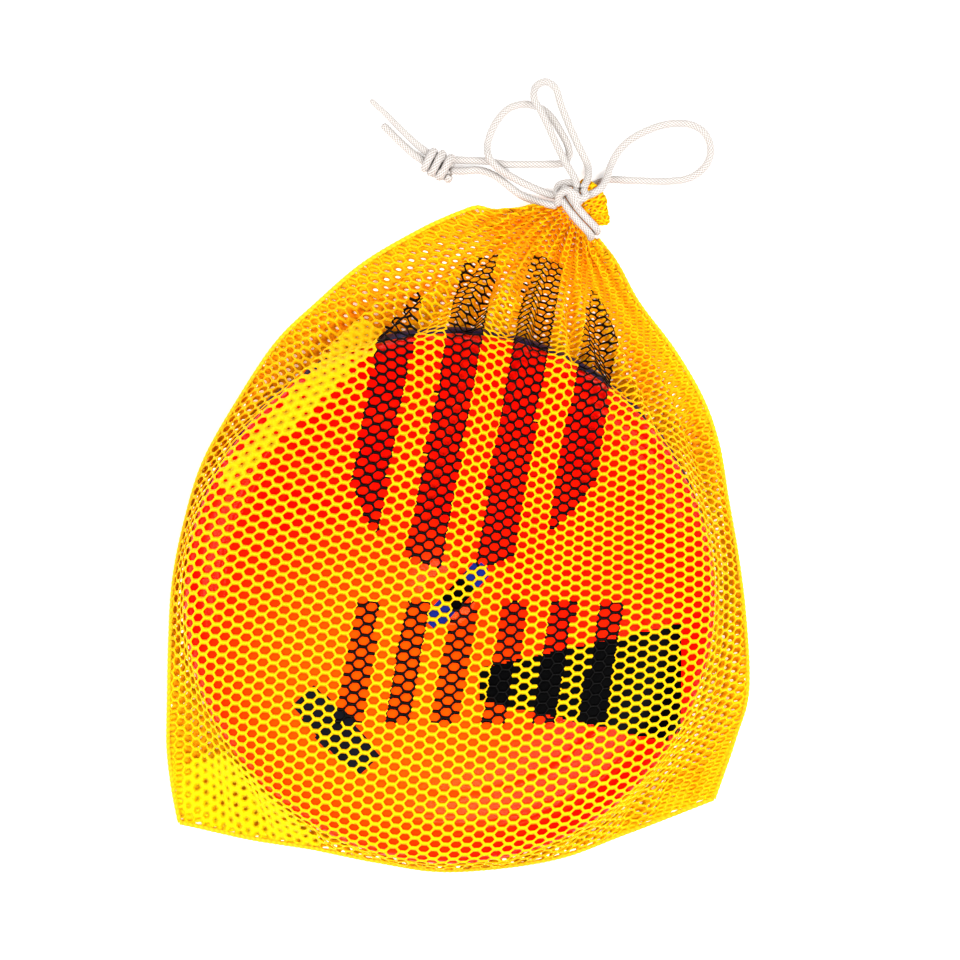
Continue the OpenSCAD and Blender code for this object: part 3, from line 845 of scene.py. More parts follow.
# %% [markdown]
# The grid is coarse, so each panel becomes a smooth surface: cubic curves run through its
# points in both directions. Pleats follow from the squeeze. Where the cloth is gathered to
# less than its width, the lost width turns into waves, with their tops running to the neck.

# %% Smooth surface with pleats
PLEAT, PLEAT_MOST, PLEATS_FADE = 30.0, 5.0, 14.0

def cubic_weights(share):
    t = share[..., None]
    return np.concatenate([0.5 * (-t + 2 * t ** 2 - t ** 3), 0.5 * (2 - 5 * t ** 2 + 3 * t ** 3),
                           0.5 * (t + 4 * t ** 2 - 3 * t ** 3), 0.5 * (-t ** 2 + t ** 3)], -1)


def on_grid(grid, u, v):
    """Bicubic value of grid at panel coordinates u, v in millimetres."""
    grid = np.pad(grid, ((1, 1), (1, 1), (0, 0)), mode="reflect", reflect_type="odd")
    x, y = np.clip(u / step_u, 0, columns - 1 - 1e-6), np.clip(v / step_v, 0, rows - 1 - 1e-6)
    i, j = x.astype(int), y.astype(int)
    wu, wv = cubic_weights(x - i), cubic_weights(y - j)
    return sum(wu[:, a, None] * wv[:, b, None] * grid[i + a, j + b] for a in range(4) for b in range(4))


def panel_surface(side):
    """A function from panel coordinates to points, outward directions, squeeze and valleys."""
    grid = cloth[side]
    squeeze = np.ones((columns, rows, 1))
    squeeze[:-1, :, 0] = np.linalg.norm(np.diff(grid, axis=0), axis=-1) / step_u
    squeeze[-1] = squeeze[-2]
    for _ in range(6):
        squeeze[1:-1, 1:-1] = (squeeze[2:, 1:-1] + squeeze[:-2, 1:-1]
                               + squeeze[1:-1, 2:] + squeeze[1:-1, :-2]) / 4

    def place(u, v):
        points = on_grid(grid, u, v)
        du = on_grid(grid, u + 0.5, v) - on_grid(grid, u - 0.5, v)
        dv = on_grid(grid, u, v + 0.5) - on_grid(grid, u, v - 0.5)
        normal = np.cross(du, dv)
        normal /= np.maximum(np.linalg.norm(normal, axis=1, keepdims=True), 1e-9)
        tight = np.clip(on_grid(squeeze, u, v)[:, 0], 0.04, 1.3)
        wave = (np.sin(2 * math.pi * u / PLEAT + 1.5 * np.sin(v / 55))
                + 0.4 * np.sin(2 * math.pi * u / (0.6 * PLEAT) + v / 40)) / 1.4
        loss = np.sqrt(np.clip(1 / tight - 1.03, 0, 9))
        flat_at_seams = np.clip(to_panel_edge(u, v) / PLEATS_FADE, 0, 1)
        lift = np.clip(PLEAT * tight / math.pi * loss, 0, PLEAT_MOST) * wave * flat_at_seams
        points = points + normal * lift[:, None]
        return points, normal, tight, np.clip(-wave, 0, 1)

    return place


def to_panel_edge(u, v):
    return np.minimum.reduce([u, PANEL_WIDTH - u, v, PANEL_LENGTH - v])


# %% [markdown]
# ## Knitting the net
# The net is a sheet of hexagonal holes in upright columns. Each cell is a hexagon with an
# hole whose shape is between an oval and a hexagon. The middle line of every yarn stands
# proud and the rim of every hole lies lower, above and below, so each bar of the net gets a
# rounded section. Neighbours share their corners, and the outermost cells get a wall, so the
# whole net is one closed mesh.

# %% Cells of the net
COLUMN_PITCH, ROW_PITCH = 5.15, 5.55
HOLE_HALF_WIDTH, HOLE_HALF_HEIGHT = 2.7, 1.75
HOLE_OVAL, HOLE_HEXAGON = 0.45, 0.55  # the two shapes' shares in a hole's outline
YARN_HALF_THICKNESS = 0.42
SEAM_TAKES = 0.3  # what lies this near the cut edge goes into the seam
OFF_HALVES = 0.003  # keeps shared corners off rounding's half steps, so that neighbours join

def knit(width, length, column, row, hole_w, hole_h, ring=False, shift=0.0, hole_scale=None, lie=None):
    """Cell corners (u, v, level) and quads; level 1 and -1 are the faces, 0 is the hole's rim.

    ring joins the first column to the last. lie moves knit coordinates to where they lie in
    the panel, and hole_scale gives each cell's hole its share of the full width and height.
    """
    point = 2 * column / 3
    corner = np.array([[point, 0], [0.75 * point, row / 4], [point / 2, row / 2],
                       [-point / 2, row / 2], [-0.75 * point, row / 4],
                       [-point, 0], [-0.75 * point, -row / 4], [-point / 2, -row / 2],
                       [point / 2, -row / 2], [0.75 * point, -row / 4]])
    turn = np.array([0, 0.62, 1.16, math.pi - 1.16, math.pi - 0.62])
    turn = np.concatenate([turn, turn + math.pi])
    round_hole = np.stack([hole_w * np.cos(turn), hole_h * np.sin(turn)], 1)
    to_hole = np.array([hole_w / point, 2 * hole_h / row])
    hole = HOLE_OVAL * round_hole + HOLE_HEXAGON * corner * to_hole
    i, j = np.meshgrid(np.arange(round(width / column)) if ring else np.arange(-9, int(width / column) + 10),
                       np.arange(0 if ring else -9, int(length / row) + 14), indexing="ij")
    middle = np.stack([i * column, (j + 0.5 * (i % 2) + shift) * row], -1).reshape(-1, 2)
    laid = lie(middle) if lie else middle
    inside = (laid[:, 1] > 0.1 * row) & (laid[:, 1] < length - 0.1 * row)
    if not ring:
        inside &= (laid[:, 0] >= -0.2 * column) & (laid[:, 0] <= width + 0.2 * column)
    middle = middle[inside]
    scale = hole_scale(laid[inside]) if hole_scale else np.ones((len(middle), 2))
    rim = middle[:, None] + corner
    eye = middle[:, None] + hole * scale[:, None]
    stack = [np.dstack([rim, np.ones(rim.shape[:2])]), np.dstack([rim, -np.ones(rim.shape[:2])]),
             np.dstack([eye, np.zeros(eye.shape[:2])])]
    every = np.concatenate([x.reshape(-1, 3) for x in stack])
    if ring:
        every[:, 0] = np.mod(np.round(every[:, 0], 2), round(width, 2))
    unique, index = np.unique(np.round(every + OFF_HALVES, 2), axis=0, return_inverse=True)
    index = index.ravel()
    n = len(middle) * 10
    t, l, e = (index[k * n:(k + 1) * n].reshape(-1, 10) for k in range(3))
    t1, l1, e1 = (np.roll(x, -1, axis=1) for x in (t, l, e))
    _, pair, uses = np.unique(np.sort(np.stack([t, t1], -1).reshape(-1, 2), axis=1), axis=0,
                              return_inverse=True, return_counts=True)
    border = uses[pair.ravel()] == 1
    quads = np.concatenate([np.stack([t, t1, e1, e], -1).reshape(-1, 4),
                            np.stack([l1, l, e, e1], -1).reshape(-1, 4),
                            np.stack([t1, t, l, l1], -1).reshape(-1, 4)[border]])
    if lie:
        unique[:, :2] = lie(unique[:, :2])
    outside = (unique[:, 1] <= SEAM_TAKES) | (unique[:, 1] >= length - SEAM_TAKES)
    if not ring:
        outside |= (unique[:, 0] <= SEAM_TAKES) | (unique[:, 0] >= width - SEAM_TAKES)
        unique[:, 0] = np.clip(unique[:, 0], 0, width)
    unique[:, 1] = np.clip(unique[:, 1], 0, length)
    unique[outside, 2] = 0
    return unique, quads[~outside[quads].all(axis=1)]


def weld(points, quads):
    """Join points that coincide, and drop faces that are left with fewer than three corners."""
    _, first, index = np.unique(np.round(points, 3), axis=0, return_index=True, return_inverse=True)
    faces = [list(dict.fromkeys(quad)) for quad in index.ravel()[quads].tolist()]
    faces = [face for face in faces if len(face) > 2]
    return first, faces


# %% [markdown]
# The front panel carries a screen print in black ink: a plain round field of slanted stripes
# and, below it, a row of slanted bars. Ink sits only on the yarn, so each face of the net is
# inked or not.

# %% The print's shapes
BALL_MIDDLE, BALL_R, BALL_TALLER = (14.0, 57.0), 67.0, 1.18
STRIPE_WIDTH, STRIPE_PITCH, SLANT = 18.0, 34.0, 0.18
BAR_BOTTOM, BAR_TOP, BAR_WIDTH, BAR_PITCH, BARS_FROM, BARS_WIDE = -98.0, -38.0, 12.0, 24.0, -60, 132

def printed(x, y):
    """True where the motif's ink lies, for points seen from above in millimetres."""
    across = x - BALL_MIDDLE[0] - SLANT * (y - BALL_MIDDLE[1])
    r = np.hypot(across, (y - BALL_MIDDLE[1]) / BALL_TALLER)
    along_stripes = across + 2 * STRIPE_PITCH + STRIPE_WIDTH / 2 - STRIPE_PITCH / 2
    ball = (r < BALL_R) & (np.mod(along_stripes, STRIPE_PITCH) < STRIPE_WIDTH)
    place = x - SLANT * (y - BAR_BOTTOM) - BARS_FROM
    bars = ((y > BAR_BOTTOM) & (y < BAR_TOP) & (place > 0) & (place < BARS_WIDE)
            & (np.mod(place, BAR_PITCH) < BAR_WIDTH))
    return ball | bars


# %% [markdown]
# A filled bag pulls its net out of square. The rows sag towards both side seams, the columns
# lean in the lower half, and near the neck the cells stay wide while cloth between them is
# hidden in the pleats. Knit coordinates are bent to show this before the net is placed.

# %% How the knit lies in the panels
LEFT_SKEW, LEFT_SKEW_WIDTH, RIGHT_SKEW, RIGHT_SKEW_FROM = 0.27, 170.0, 0.22, 225.0
COLUMN_LEAN, LEAN_UPTO, LEAN_EASE, LEAN_START = 0.135, 165.0, 30, -12
SPREAD_FROM, SPREAD_OVER, SPREAD_MIDDLE = 245.0, 110.0, 0.56 * PANEL_WIDTH

def lie(place):
    """Where knit coordinates lie in the panel: columns lean, and thin out towards the neck."""
    x, y = place[:, 0], place[:, 1]
    lean = COLUMN_LEAN * (y - LEAN_EASE * np.log1p(np.exp((y - LEAN_UPTO) / LEAN_EASE)))
    near = np.clip((y - SPREAD_FROM) / SPREAD_OVER, 0, 2)
    wider = 1 + 0.55 * near + 0.5 * near ** 2
    u = SPREAD_MIDDLE + (x + lean + LEAN_START - SPREAD_MIDDLE) * wider
    return np.stack([u, y - row_drop(np.clip(u, 0, PANEL_WIDTH), y)], 1)


def row_drop(u, v):
    """How far a row of the knit hangs below the panel's own line towards the two side seams."""
    to_left = np.clip(LEFT_SKEW_WIDTH - u, 0, None)
    to_right = np.clip(u - RIGHT_SKEW_FROM, 0, None)
    less_above = np.clip(1.3 - v / 200, 0, 1)
    return (LEFT_SKEW * to_left ** 2 / (2 * LEFT_SKEW_WIDTH)
            + RIGHT_SKEW * to_right ** 2 / (2 * (PANEL_WIDTH - RIGHT_SKEW_FROM)) * less_above)


# %% [markdown]
# Loose cloth folds over itself. Where it is doubled, at the left shoulder and the lower left
# corner, layers close each other's holes, so the holes shrink there. Below the neck one fold
# sinks deep. Under the discs the back panel's spare length rises in cross folds in the lower
# disc's hollow. Without them the panel would lose a third of the area it was cut to.

# %% Folds
SHOULDER_FOLD = [(-113, 22), (-102, 35.5), (-92.5, 46), (-81, 56.5), (-72.4, 66), (-64.8, 73.7),
                 (-57, 83.5), (-48, 94)]
FOLD_HALF_WIDTH, FOLD_WIDENS, FOLD_EDGE = 3.2, 0.6, 2.5
CORNER_FOLD = [(-133, -122), (-137, -140), (-120, -151), (-97, -158), (-72, -160), (-88, -144),
               (-104, -128), (-116, -119)]
CORNER_EDGE = 5
POCKET, POCKET_DEPTH, POCKET_HALF_WIDTH = ((32.0, 150.0), (35.0, 118.0)), 9.0, 4.5
POCKET_LIP, POCKET_LIP_AT = 6.5, 10
FOLD_SPACING, FOLD_HEIGHT, FOLD_WAVER, FOLDS_WITHIN, FOLDS_FADE = 28.0, 8.0, 8, 116.0, 15.0

def near_fold(points):
    """0 on the doubled cloth of the shoulder's fold, rising to 1 away from it."""
    best = np.full(len(points), 1e9)
    for n, (a, b) in enumerate(zip(SHOULDER_FOLD[:-1], SHOULDER_FOLD[1:])):
        a, b = np.array(a, float), np.array(b, float)
        part = np.clip((points[:, :2] - a) @ (b - a) / ((b - a) @ (b - a)), 0, 1)
        half_width = FOLD_HALF_WIDTH + FOLD_WIDENS * (n + part)
        beside = np.linalg.norm(points[:, :2] - a - part[:, None] * (b - a), axis=1)
        best = np.minimum(best, beside - half_width)
    return np.clip(best / FOLD_EDGE, 0, 1)


def off_corner(points):
    """0 on the folded corner, where several layers lie on each other, rising to 1 away from it."""
    best = np.full(len(points), 1e9)
    crossings = np.zeros(len(points), int)
    x, y = points[:, 0], points[:, 1]
    for (ax, ay), (bx, by) in zip(CORNER_FOLD, CORNER_FOLD[1:] + CORNER_FOLD[:1]):
        part = ((x - ax) * (bx - ax) + (y - ay) * (by - ay)) / ((bx - ax) ** 2 + (by - ay) ** 2)
        part = np.clip(part, 0, 1)
        best = np.minimum(best, np.hypot(x - ax - part * (bx - ax), y - ay - part * (by - ay)))
        between = (y >= min(ay, by)) & (y < max(ay, by))
        crossings += between & (x < ax + (y - ay) * (bx - ax) / ((by - ay) or 1))
    return np.where(crossings % 2 == 1, 0.0, np.clip(best / CORNER_EDGE, 0, 1))


def pocket(points):
    """The deep fold below the neck: how much lower the cloth lies in it and higher beside it."""
    a, b = np.array(POCKET[0]), np.array(POCKET[1])
    part = np.clip((points[:, :2] - a) @ (b - a) / ((b - a) @ (b - a)), 0, 1)
    d = np.linalg.norm(points[:, :2] - a - part[:, None] * (b - a), axis=1)
    return (POCKET_LIP * np.exp(-((d - POCKET_LIP_AT) / POCKET_HALF_WIDTH) ** 2)
            - POCKET_DEPTH * np.exp(-(d / POCKET_HALF_WIDTH) ** 2))


def slack_folds(points, u, v):
    """How far the back panel's cross folds rise in the hollow of the lower disc."""
    inward = FOLDS_WITHIN - np.hypot(*(points[:, :2] - BLUE_MIDDLE).T)
    rise = 0.5 - 0.5 * np.cos(2 * math.pi * (v + FOLD_WAVER * np.sin(u / 40)) / FOLD_SPACING)
    return FOLD_HEIGHT * rise * np.clip(inward / FOLDS_FADE, 0, 1)


# %% [markdown]
# Each panel takes its cells, its smooth surface, its folds and its ink. The yarn's area in the
# flat cut is worked out before draping and given to the frame, so its cloth test compares the
# drape with the cut. The colour deepens in folds and a little towards the neck.

# %% Front and back panels of net
INKED_HOLE, BACK_HOLE, OPEN_HOLE = (1.06, 1.19), (0.5, 0.5), (1.0, 1.0)
CLOSED_HOLE, CLOSED_VARIES, BACK_CLOSED, BACK_OPENS = 0.12, 0.35, 0.15, 0.85
TABLE_GAP, YARN_OFF_TABLE = 0.6, 0.15
# Painted shade on the net's dye: a base, more towards the neck, on the back panel, in pleat valleys and in the pocket;
# the corner term paints light, making it lighter.
SHADE_BASE, NECKWARD_SHADE, BACK_PANEL_SHADE, CORNER_PAINTED_LIGHT = 0.22, 0.0007, 0.15, 0.35
PLEAT_VALLEY_SHADE, POCKET_SHADE = 0.24, 0.12

def net_area_laid_flat(cells, quads):
    """What the yarn covers in the flat cut, holes left out, in square metres."""
    a, b, c, d = (cells[quads[:, k]] * np.array([1, 1, YARN_HALF_THICKNESS]) * MM for k in range(4))
    both_faces = (np.linalg.norm(np.cross(b - a, c - a), axis=1)
                  + np.linalg.norm(np.cross(c - a, d - a), axis=1)) / 2
    return float(both_faces.sum() / 2)


def net_panel(name, side, inked):
    place = panel_surface(side)

    def surface(u, v):
        points, normal, tight, valley = place(u, v)
        if side == 0:
            sunk = pocket(points)
            points[:, 2] += sunk
            valley = np.maximum(valley, np.clip(-sunk / POCKET_DEPTH, 0, 1))
        points = off_the_discs(points)
        if side == 1:
            points = off_the_discs(points, SHIFTED_BLUE)
        points[:, 2] = np.maximum(points[:, 2], TABLE_GAP)
        if side == 1:
            points[:, 2] += slack_folds(points, u, v)
        return points, normal, tight, valley

    def hole_scale(laid):
        points = surface(laid[:, 0], laid[:, 1])[0]
        if not inked:
            return np.array(BACK_HOLE) * (BACK_CLOSED + BACK_OPENS * off_corner(points))[:, None]
        scattered = 0.5 + 0.5 * np.sin(37.0 * laid[:, 0] + 91.0 * laid[:, 1])
        closed = CLOSED_HOLE + CLOSED_VARIES * scattered ** 2
        crowded = closed + (1 - closed) * np.minimum(near_fold(points), off_corner(points))
        ink = printed(points[:, 0], points[:, 1])
        return np.where(ink[:, None], INKED_HOLE, OPEN_HOLE) * crowded[:, None]

    unique, quads = knit(PANEL_WIDTH, PANEL_LENGTH, COLUMN_PITCH, ROW_PITCH, HOLE_HALF_WIDTH,
                         HOLE_HALF_HEIGHT, shift=0.5 * side, hole_scale=hole_scale, lie=lie)
    points, normal, tight, valley = surface(unique[:, 0], unique[:, 1])
    points = points + normal * (unique[:, 2] * YARN_HALF_THICKNESS)[:, None]
    points[:, 2] = np.maximum(points[:, 2], YARN_OFF_TABLE)
    first, faces = weld(points, quads)
    points, tight, valley = points[first], tight[first], valley[first]
    if side == 1:
        faces = [f[::-1] for f in faces]
    piece = new_piece(name, points, faces)
    # Painted shade: the dye is mixed darker in pleat valleys, the sunk pocket, on the back panel and towards the neck,
    # and painted lighter on the folded lower left corner.
    gathered = np.clip((0.75 - tight) / 0.6, 0, 1)
    corner = 1 - off_corner(points)
    neckward_shade = NECKWARD_SHADE * points[:, 1]
    in_pocket = np.clip(-pocket(points) / POCKET_DEPTH, 0, 1)
    folds = PLEAT_VALLEY_SHADE * valley * gathered + POCKET_SHADE * in_pocket
    value_on_points(piece, "depth", SHADE_BASE + neckward_shade + folds - CORNER_PAINTED_LIGHT * corner
                    + (BACK_PANEL_SHADE if side else 0.0))
    if inked:
        middles = np.array([points[f].mean(axis=0) for f in faces])
        ink = printed(middles[:, 0], middles[:, 1])
        piece.data.polygons.foreach_set("material_index", ink.astype(np.int32))
    draped_area = sum(p.area for p in piece.data.polygons) / 2
    flat_area = net_area_laid_flat(unique, quads)
    print(name, len(faces), "faces; yarn covers", round(flat_area, 4), "m2 laid flat and",
          round(draped_area, 4), "m2 as draped")
    return piece, flat_area


front, front_area = net_panel("front_net_panel", 0, True)
back, back_area = net_panel("back_net_panel", 1, False)
dress(front, None, "mesh_cloth", yellow_net, black_ink, nodes=["front_panel"])
dress(back, "bag", "mesh_cloth", yellow_net, nodes=["back_panel"])
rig.blend(front, "bag", "lower_disc", start=(0, 0, 0.009), end=(0, 0, 0.022))
for panel, area, lies_on in ((front, front_area, ["red_disc"]), (back, back_area, ["blue_disc"])):
    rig.sheet(panel, flat=(PANEL_WIDTH * MM, PANEL_LENGTH * MM), held="gathered", rests_on=lies_on,
             area=round(area, 4))

# %% [markdown]
# ## Sewn seams
# The panels' edges are overlocked: a narrow band of thread wraps both cut edges, with one
# loop of thread after another across it.

# %% Overlocked seams
SEAM_HALF_WIDTH, SEAM_HALF_HEIGHT, LOOP_MM = 1.15, 0.8, 2.8

def seam_piece(name, line, node):
    path = smooth_path(line, LOOP_MM / 4)
    side, up = turning_frames(path)
    run = np.linspace(0, path_length(path), len(path))[:, None]
    turn = np.linspace(0, 2 * math.pi, 14, endpoint=False)[None]
    loop = 0.5 + 0.5 * np.cos(2 * math.pi * run / LOOP_MM + 1.2 * np.cos(turn))
    swell = 0.86 + 0.2 * loop
    ring = (path[:, None] + (SEAM_HALF_WIDTH * swell * np.cos(turn))[..., None] * side[:, None]
            + (SEAM_HALF_HEIGHT * swell * np.sin(turn))[..., None] * up[:, None])
    n = len(path)
    i, k = np.meshgrid(np.arange(n - 1), np.arange(14), indexing="ij")
    here, nxt = i * 14 + k, i * 14 + (k + 1) % 14
    faces = np.stack([here, nxt, nxt + 14, here + 14], -1).reshape(-1, 4).tolist()
    faces += [list(range(13, -1, -1)), [(n - 1) * 14 + k for k in range(14)]]
    points = ring.reshape(-1, 3)
    points[:, 2] = np.maximum(points[:, 2], 0.1)
    piece = new_piece(name, points, faces)
    # Painted shade between the thread's loops.
    value_on_points(piece, "groove", 0.5 * np.broadcast_to((1 - loop) ** 2, (n, 14)).ravel())
    return dress(piece, "bag", "seam_thread", overlock_thread, nodes=[node])


seam_piece("overlock_left", cloth[0, 0, :-1], "left_seam")
seam_piece("overlock_bottom", cloth[0, :, 0], "bottom_seam")
seam_piece("overlock_right", cloth[0, -1, :-1], "right_seam")

# %% [markdown]
# ## The gathered neck and its ruffled casing
# Under the cord the cloth of both panels is crushed into small pleats. Beyond it the hem,
# the casing that the cord ran in, spreads out again as a ruffle of doubled net.

# %% Gathered neck
def tie_frame(x, y, z):
    """Points from across, out and up coordinates at the tie, in millimetres."""
    return TIE / MM + np.multiply.outer(x, ACROSS) + np.multiply.outer(y, OUT) + np.multiply.outer(z, UP)


NECK_PLEATS, NECK_CLOTH_HALF_WIDTH, NECK_CLOTH_HALF_HEIGHT = 15, 11.2, 4.3
turn = np.linspace(0, 2 * math.pi, NECK_PLEATS * 12, endpoint=False)
reach = np.linspace(-4.2, 5.4, 18)
turns, reaches = np.meshgrid(turn, reach, indexing="ij")
pinch = 0.94 + 0.10 * np.clip((np.abs(reaches) - 2.5) / 4, 0, 1)
ripple = 1 + 0.055 * np.sin(NECK_PLEATS * turns + 0.5 * np.sin(3 * turns))
crumple = pinch * ripple
neck_points = tie_frame(NECK_CLOTH_HALF_WIDTH * crumple * np.cos(turns), reaches,
                        NECK_CLOTH_HALF_HEIGHT * crumple * np.sin(turns)).reshape(-1, 3)
count_t, count_r = len(turn), len(reach)
i, k = np.meshgrid(np.arange(count_t), np.arange(count_r - 1), indexing="ij")
a, b = i * count_r + k, ((i + 1) % count_t) * count_r + k
neck_faces = np.stack([a, b, b + 1, a + 1], -1).reshape(-1, 4).tolist()
neck_faces += [[i * count_r for i in range(count_t)][::-1],
               [i * count_r + count_r - 1 for i in range(count_t)]]
neck = new_piece("gathered_neck_cloth", neck_points, neck_faces)
# Painted shade: the dye is mixed darker where the pleats fold inward.
value_on_points(neck, "depth", 0.3 + 0.4 * (1 - (ripple.ravel() - 0.945) / 0.11))
dress(neck, "bag", "mesh_cloth", hem_net, nodes=["gathered_neck"])

# %% Ruffled casing
CASING_LENGTH, CASING_CLOTH, CASING_COLUMNS, RUFFLES = 172.0, 19.0, 50, 12
CASING_ROW, CASING_HOLE, CASING_YARN = 3.4, (1.05, 0.66), 0.38

def ruffle(u, w):
    """The ruffle's surface: u runs round the mouth, w from the tie outwards and back inside."""
    a = 2 * math.pi * u / CASING_LENGTH
    out = np.where(w < 10, w, 20 - w) / 10
    inner = np.clip((w - 10) / 2, 0, 1)
    spread = np.clip(out * 1.6, 0, 1)
    fold = np.sin(RUFFLES * a + 0.7 * np.sin(2 * a)) * (0.8 + 1.2 * spread)
    half_w = 10.8 + 0.9 * spread - 1.1 * inner
    half_h = 4.4 + 0.5 * spread - 1.0 * inner
    x = 1.2 * spread + (half_w + 0.55 * fold) * np.cos(a) + 1.2 * spread * np.sin(a)
    reach_out = 13.0 - 0.75 * np.clip(x - 4, 0, None) - 0.25 * np.clip(-x - 2, 0, None)
    length = 3.8 + out * (reach_out + 0.8 * np.sin(3 * a + 0.6))
    z = -1.6 * spread + (half_h + 0.75 * fold) * np.sin(a)
    return tie_frame(x, length, z)


unique, quads = knit(CASING_LENGTH, CASING_CLOTH, CASING_LENGTH / CASING_COLUMNS, CASING_ROW,
                     *CASING_HOLE, ring=True)
u, w = unique[:, 0], unique[:, 1]
points = ruffle(u, w)
normal = np.cross(ruffle(u + 0.1, w) - ruffle(u - 0.1, w), ruffle(u, w + 0.1) - ruffle(u, w - 0.1))
normal /= np.maximum(np.linalg.norm(normal, axis=1, keepdims=True), 1e-9)
points = points + normal * (unique[:, 2] * CASING_YARN)[:, None]
points[:, 2] = np.maximum(points[:, 2], 0.2)
first, faces = weld(points, quads)
casing = new_piece("ruffled_casing", points[first], faces)
# Painted shade: the dye is mixed darker on the half folded back inside the casing.
value_on_points(casing, "depth", 0.1 + 0.5 * np.clip((w[first] - 9) / 6, 0, 1))
dress(casing, "bag", "mesh_cloth", hem_net, nodes=["gathered_casing"])

# %% [markdown]
# A short row of straight stitches closes the casing's fold. Each one dives into the cloth at
# both ends, so it is a thin tube whose ends lie lower than its middle.

# %% Casing stitches
stitches = []
for x in range(-8, 9, 4):
    across = np.array([x - 1.5, x - 0.7, x + 0.7, x + 1.5])
    height = 4.6 * np.sqrt(np.clip(1 - (across / 12.5) ** 2, 0, 1)) + np.array([-0.5, 0.35, 0.35, -0.5])
    stitches.append(tie_frame(across + 1.5, np.full(4, 8.4), height - 0.4))
points, faces, grooves = braided_tube(stitches, diameter=0.8)
stitching = new_piece("casing_stitches", points, faces)
# Painted shade where the stitch thread dips.
value_on_points(stitching, "groove", grooves * 0.4)
dress(stitching, "bag", "seam_thread", overlock_thread, nodes=["casing_stitching"])

# %% [markdown]
# ## The two discs
# Each disc is a lathe shape: a flat flight plate, a ring of fine grooves on the shoulder that
# trip the air, and a thick lip below. It is hollow, so one disc nests in the other.

# %% Lathe the discs
LATHE_STEPS = 192
WALL, LIP_WALL = 2.0, 3.4
GROOVES_FROM, GROOVES_TO, GROOVE_PITCH, GROOVE_DEPTH = 103, 122, 2.2, 0.16

def disc_section():
    """Radius and height of the moulding's section, once round, in millimetres."""
    turn = np.radians(np.linspace(0, 90, 61))
    outside = np.stack([PLATE_R + (DISC_R - PLATE_R) * np.sin(turn),
                        EDGE_Z + (DISC_H - EDGE_Z) * np.cos(turn)], 1)
    r = outside[:, 0]
    in_groove = np.abs(((r - GROOVES_FROM) / GROOVE_PITCH) % 1 - 0.5) > 0.28
    grooved = in_groove & (r > GROOVES_FROM) & (r < GROOVES_TO)
    outside[:, 1] -= GROOVE_DEPTH * grooved
    inside = np.stack([PLATE_R + (DISC_R - LIP_WALL - PLATE_R) * np.sin(turn),
                       EDGE_Z + (DISC_H - EDGE_Z - WALL) * np.cos(turn)], 1)[::-3]
    plate = np.array([[r, DISC_H - dip] for r, dip in (
        (0.01, 0), (12, 0), (12.6, 0.12), (13.4, 0.12), (14, 0), (40, 0), (70, 0), (92, 0),
        (94, 0.15), (96, 0.15))])
    lip = np.array([[DISC_R, EDGE_Z - 1], [DISC_R - 0.5, 3.2], [DISC_R - 1.1, 0.6], [DISC_R - 1.6, 0.05],
                    [DISC_R - 3.2, 0.05], [DISC_R - 3.6, 0.8], [DISC_R - 3.5, 4]])
    return np.vstack([plate, outside, lip, inside, [[60, DISC_H - WALL], [0.01, DISC_H - WALL]]])


def disc_piece(name, middle, level, material, slot, body, node):
    section = disc_section()
    turn = np.linspace(0, 2 * math.pi, LATHE_STEPS, endpoint=False)
    ring = np.stack([middle[0] + np.outer(np.cos(turn), section[:, 0]),
                     middle[1] + np.outer(np.sin(turn), section[:, 0]),
                     np.broadcast_to(level + section[:, 1], (LATHE_STEPS, len(section)))], -1)
    n = len(section)
    i, k = np.meshgrid(np.arange(LATHE_STEPS), np.arange(n - 1), indexing="ij")
    a, b = i * n + k, ((i + 1) % LATHE_STEPS) * n + k
    faces = np.stack([a, a + 1, b + 1, b], -1).reshape(-1, 4).tolist()
    faces += [[i * n for i in range(LATHE_STEPS)], [i * n + n - 1 for i in range(LATHE_STEPS)][::-1]]
    piece = new_piece(name, ring.reshape(-1, 3), faces)
    print(name, 2 * DISC_R, "mm across,", len(faces), "faces")
    return dress(piece, body, slot, material, nodes=[node])


disc_piece("navy_flying_disc", BLUE_MIDDLE, BLUE_Z, blue_plastic, "blue_plastic", "lower_disc", "blue_disc")
disc_piece("red_flying_disc", RED_MIDDLE, RED_Z, red_plastic, "red_plastic", "upper_disc", "red_disc")

# %% [markdown]
# The printed marks are thin films of ink that follow the plate and the start of the shoulder.
# A film is cut from a fine grid laid on the disc. It is drawn thicker than real ink, so that
# it never flickers against the plastic.

# %% Printed films on the red disc
FILM_CELL, FILM_LOW, FILM_TOP = 1.2, 0.02, 0.10

def disc_height(x, y):
    r = np.hypot(x - RED_MIDDLE[0], y - RED_MIDDLE[1])
    part = np.clip((r - PLATE_R) / (DISC_R - PLATE_R), 0, 1)
    return RED_Z + EDGE_Z + (DISC_H - EDGE_Z) * np.sqrt(1 - part ** 2)


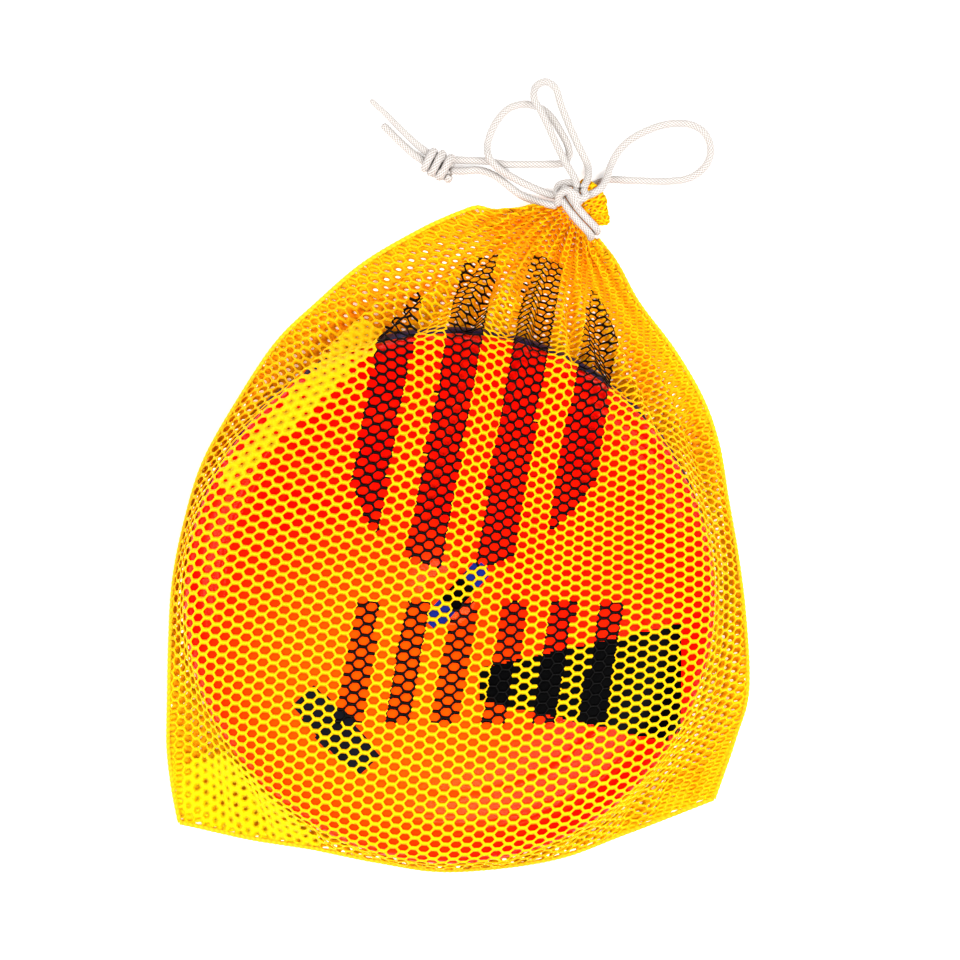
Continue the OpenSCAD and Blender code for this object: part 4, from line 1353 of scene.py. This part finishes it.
def film(name, middle, turn_deg, length, width, keep, material, slot, node, shades=None):
    """A printed film: the faces of a fine grid that keep() accepts, laid on the disc."""
    count_x, count_y = int(length / FILM_CELL), int(width / FILM_CELL)
    x, y = np.meshgrid(np.linspace(-length / 2, length / 2, count_x + 1),
                       np.linspace(-width / 2, width / 2, count_y + 1), indexing="ij")
    c, s = math.cos(math.radians(turn_deg)), math.sin(math.radians(turn_deg))
    px, py = middle[0] + c * x - s * y, middle[1] + s * x + c * y
    low, top = (np.dstack([px, py, disc_height(px, py) + rise]).reshape(-1, 3)
                for rise in (FILM_LOW, FILM_TOP))
    n = count_y + 1
    cells = [(i, j) for i in range(count_x) for j in range(count_y)
             if keep((x[i, j] + x[i + 1, j + 1]) / 2, (y[i, j] + y[i + 1, j + 1]) / 2)]
    filled, half, faces, looks = set(cells), len(low), [], []
    for i, j in cells:
        quad = [i * n + j, (i + 1) * n + j, (i + 1) * n + j + 1, i * n + j + 1]
        sides = [(quad[0], quad[1], (i, j - 1)), (quad[1], quad[2], (i + 1, j)),
                 (quad[2], quad[3], (i, j + 1)), (quad[3], quad[0], (i - 1, j))]
        new = [[q + half for q in quad], quad[::-1]]
        new += [[a, b, b + half, a + half] for a, b, o in sides if o not in filled]
        faces += new
        looks += [shades(x[i, j]) if shades else 0] * len(new)
    used = sorted({q for f in faces for q in f})
    renumber = {q: m for m, q in enumerate(used)}
    piece = new_piece(name, np.vstack([low, top])[used], [[renumber[q] for q in f] for f in faces],
                      smooth=False)
    materials = material if isinstance(material, list) else [material]
    dress(piece, "upper_disc", slot, *materials, nodes=[node])
    piece.data.polygons.foreach_set("material_index", looks)
    return piece


def band_shape(x, y):
    """A wedge that widens to the right, and an upright bar at its end."""
    wedge = x < 44 and abs(y) < 8 + 0.22 * (x + 50)
    return wedge or 44 <= x < 50 and -26 < y < 30


film("printed_band", (61, -79), 0, 100, 64, band_shape, foil_black, "black_print", "red_disc_band")
film("printed_patch", (-60, -102), -47, 48, 20, lambda x, y: abs(y) < 10 - 0.12 * abs(x),
     foil_grey, "grey_print", "red_disc_patch")
film("printed_tab", (0, -35), 47, 40, 10, lambda x, y: abs(x) < 18 or abs(y) < 3,
     [foil_blue, foil_black], "blue_print", "red_disc_tab", shades=lambda x: 1 if -7 < x < 7 else 0)

# %% Write the sizes of the CAD and of what is shown
visual_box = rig.bounds()
with open("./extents.json", "w") as out:
    json.dump({"cad": [list(map(float, c)) for c in cad_box],
               "visual": [list(map(float, c)) for c in visual_box]}, out)
print("CAD box", cad_box, "visual box", visual_box)
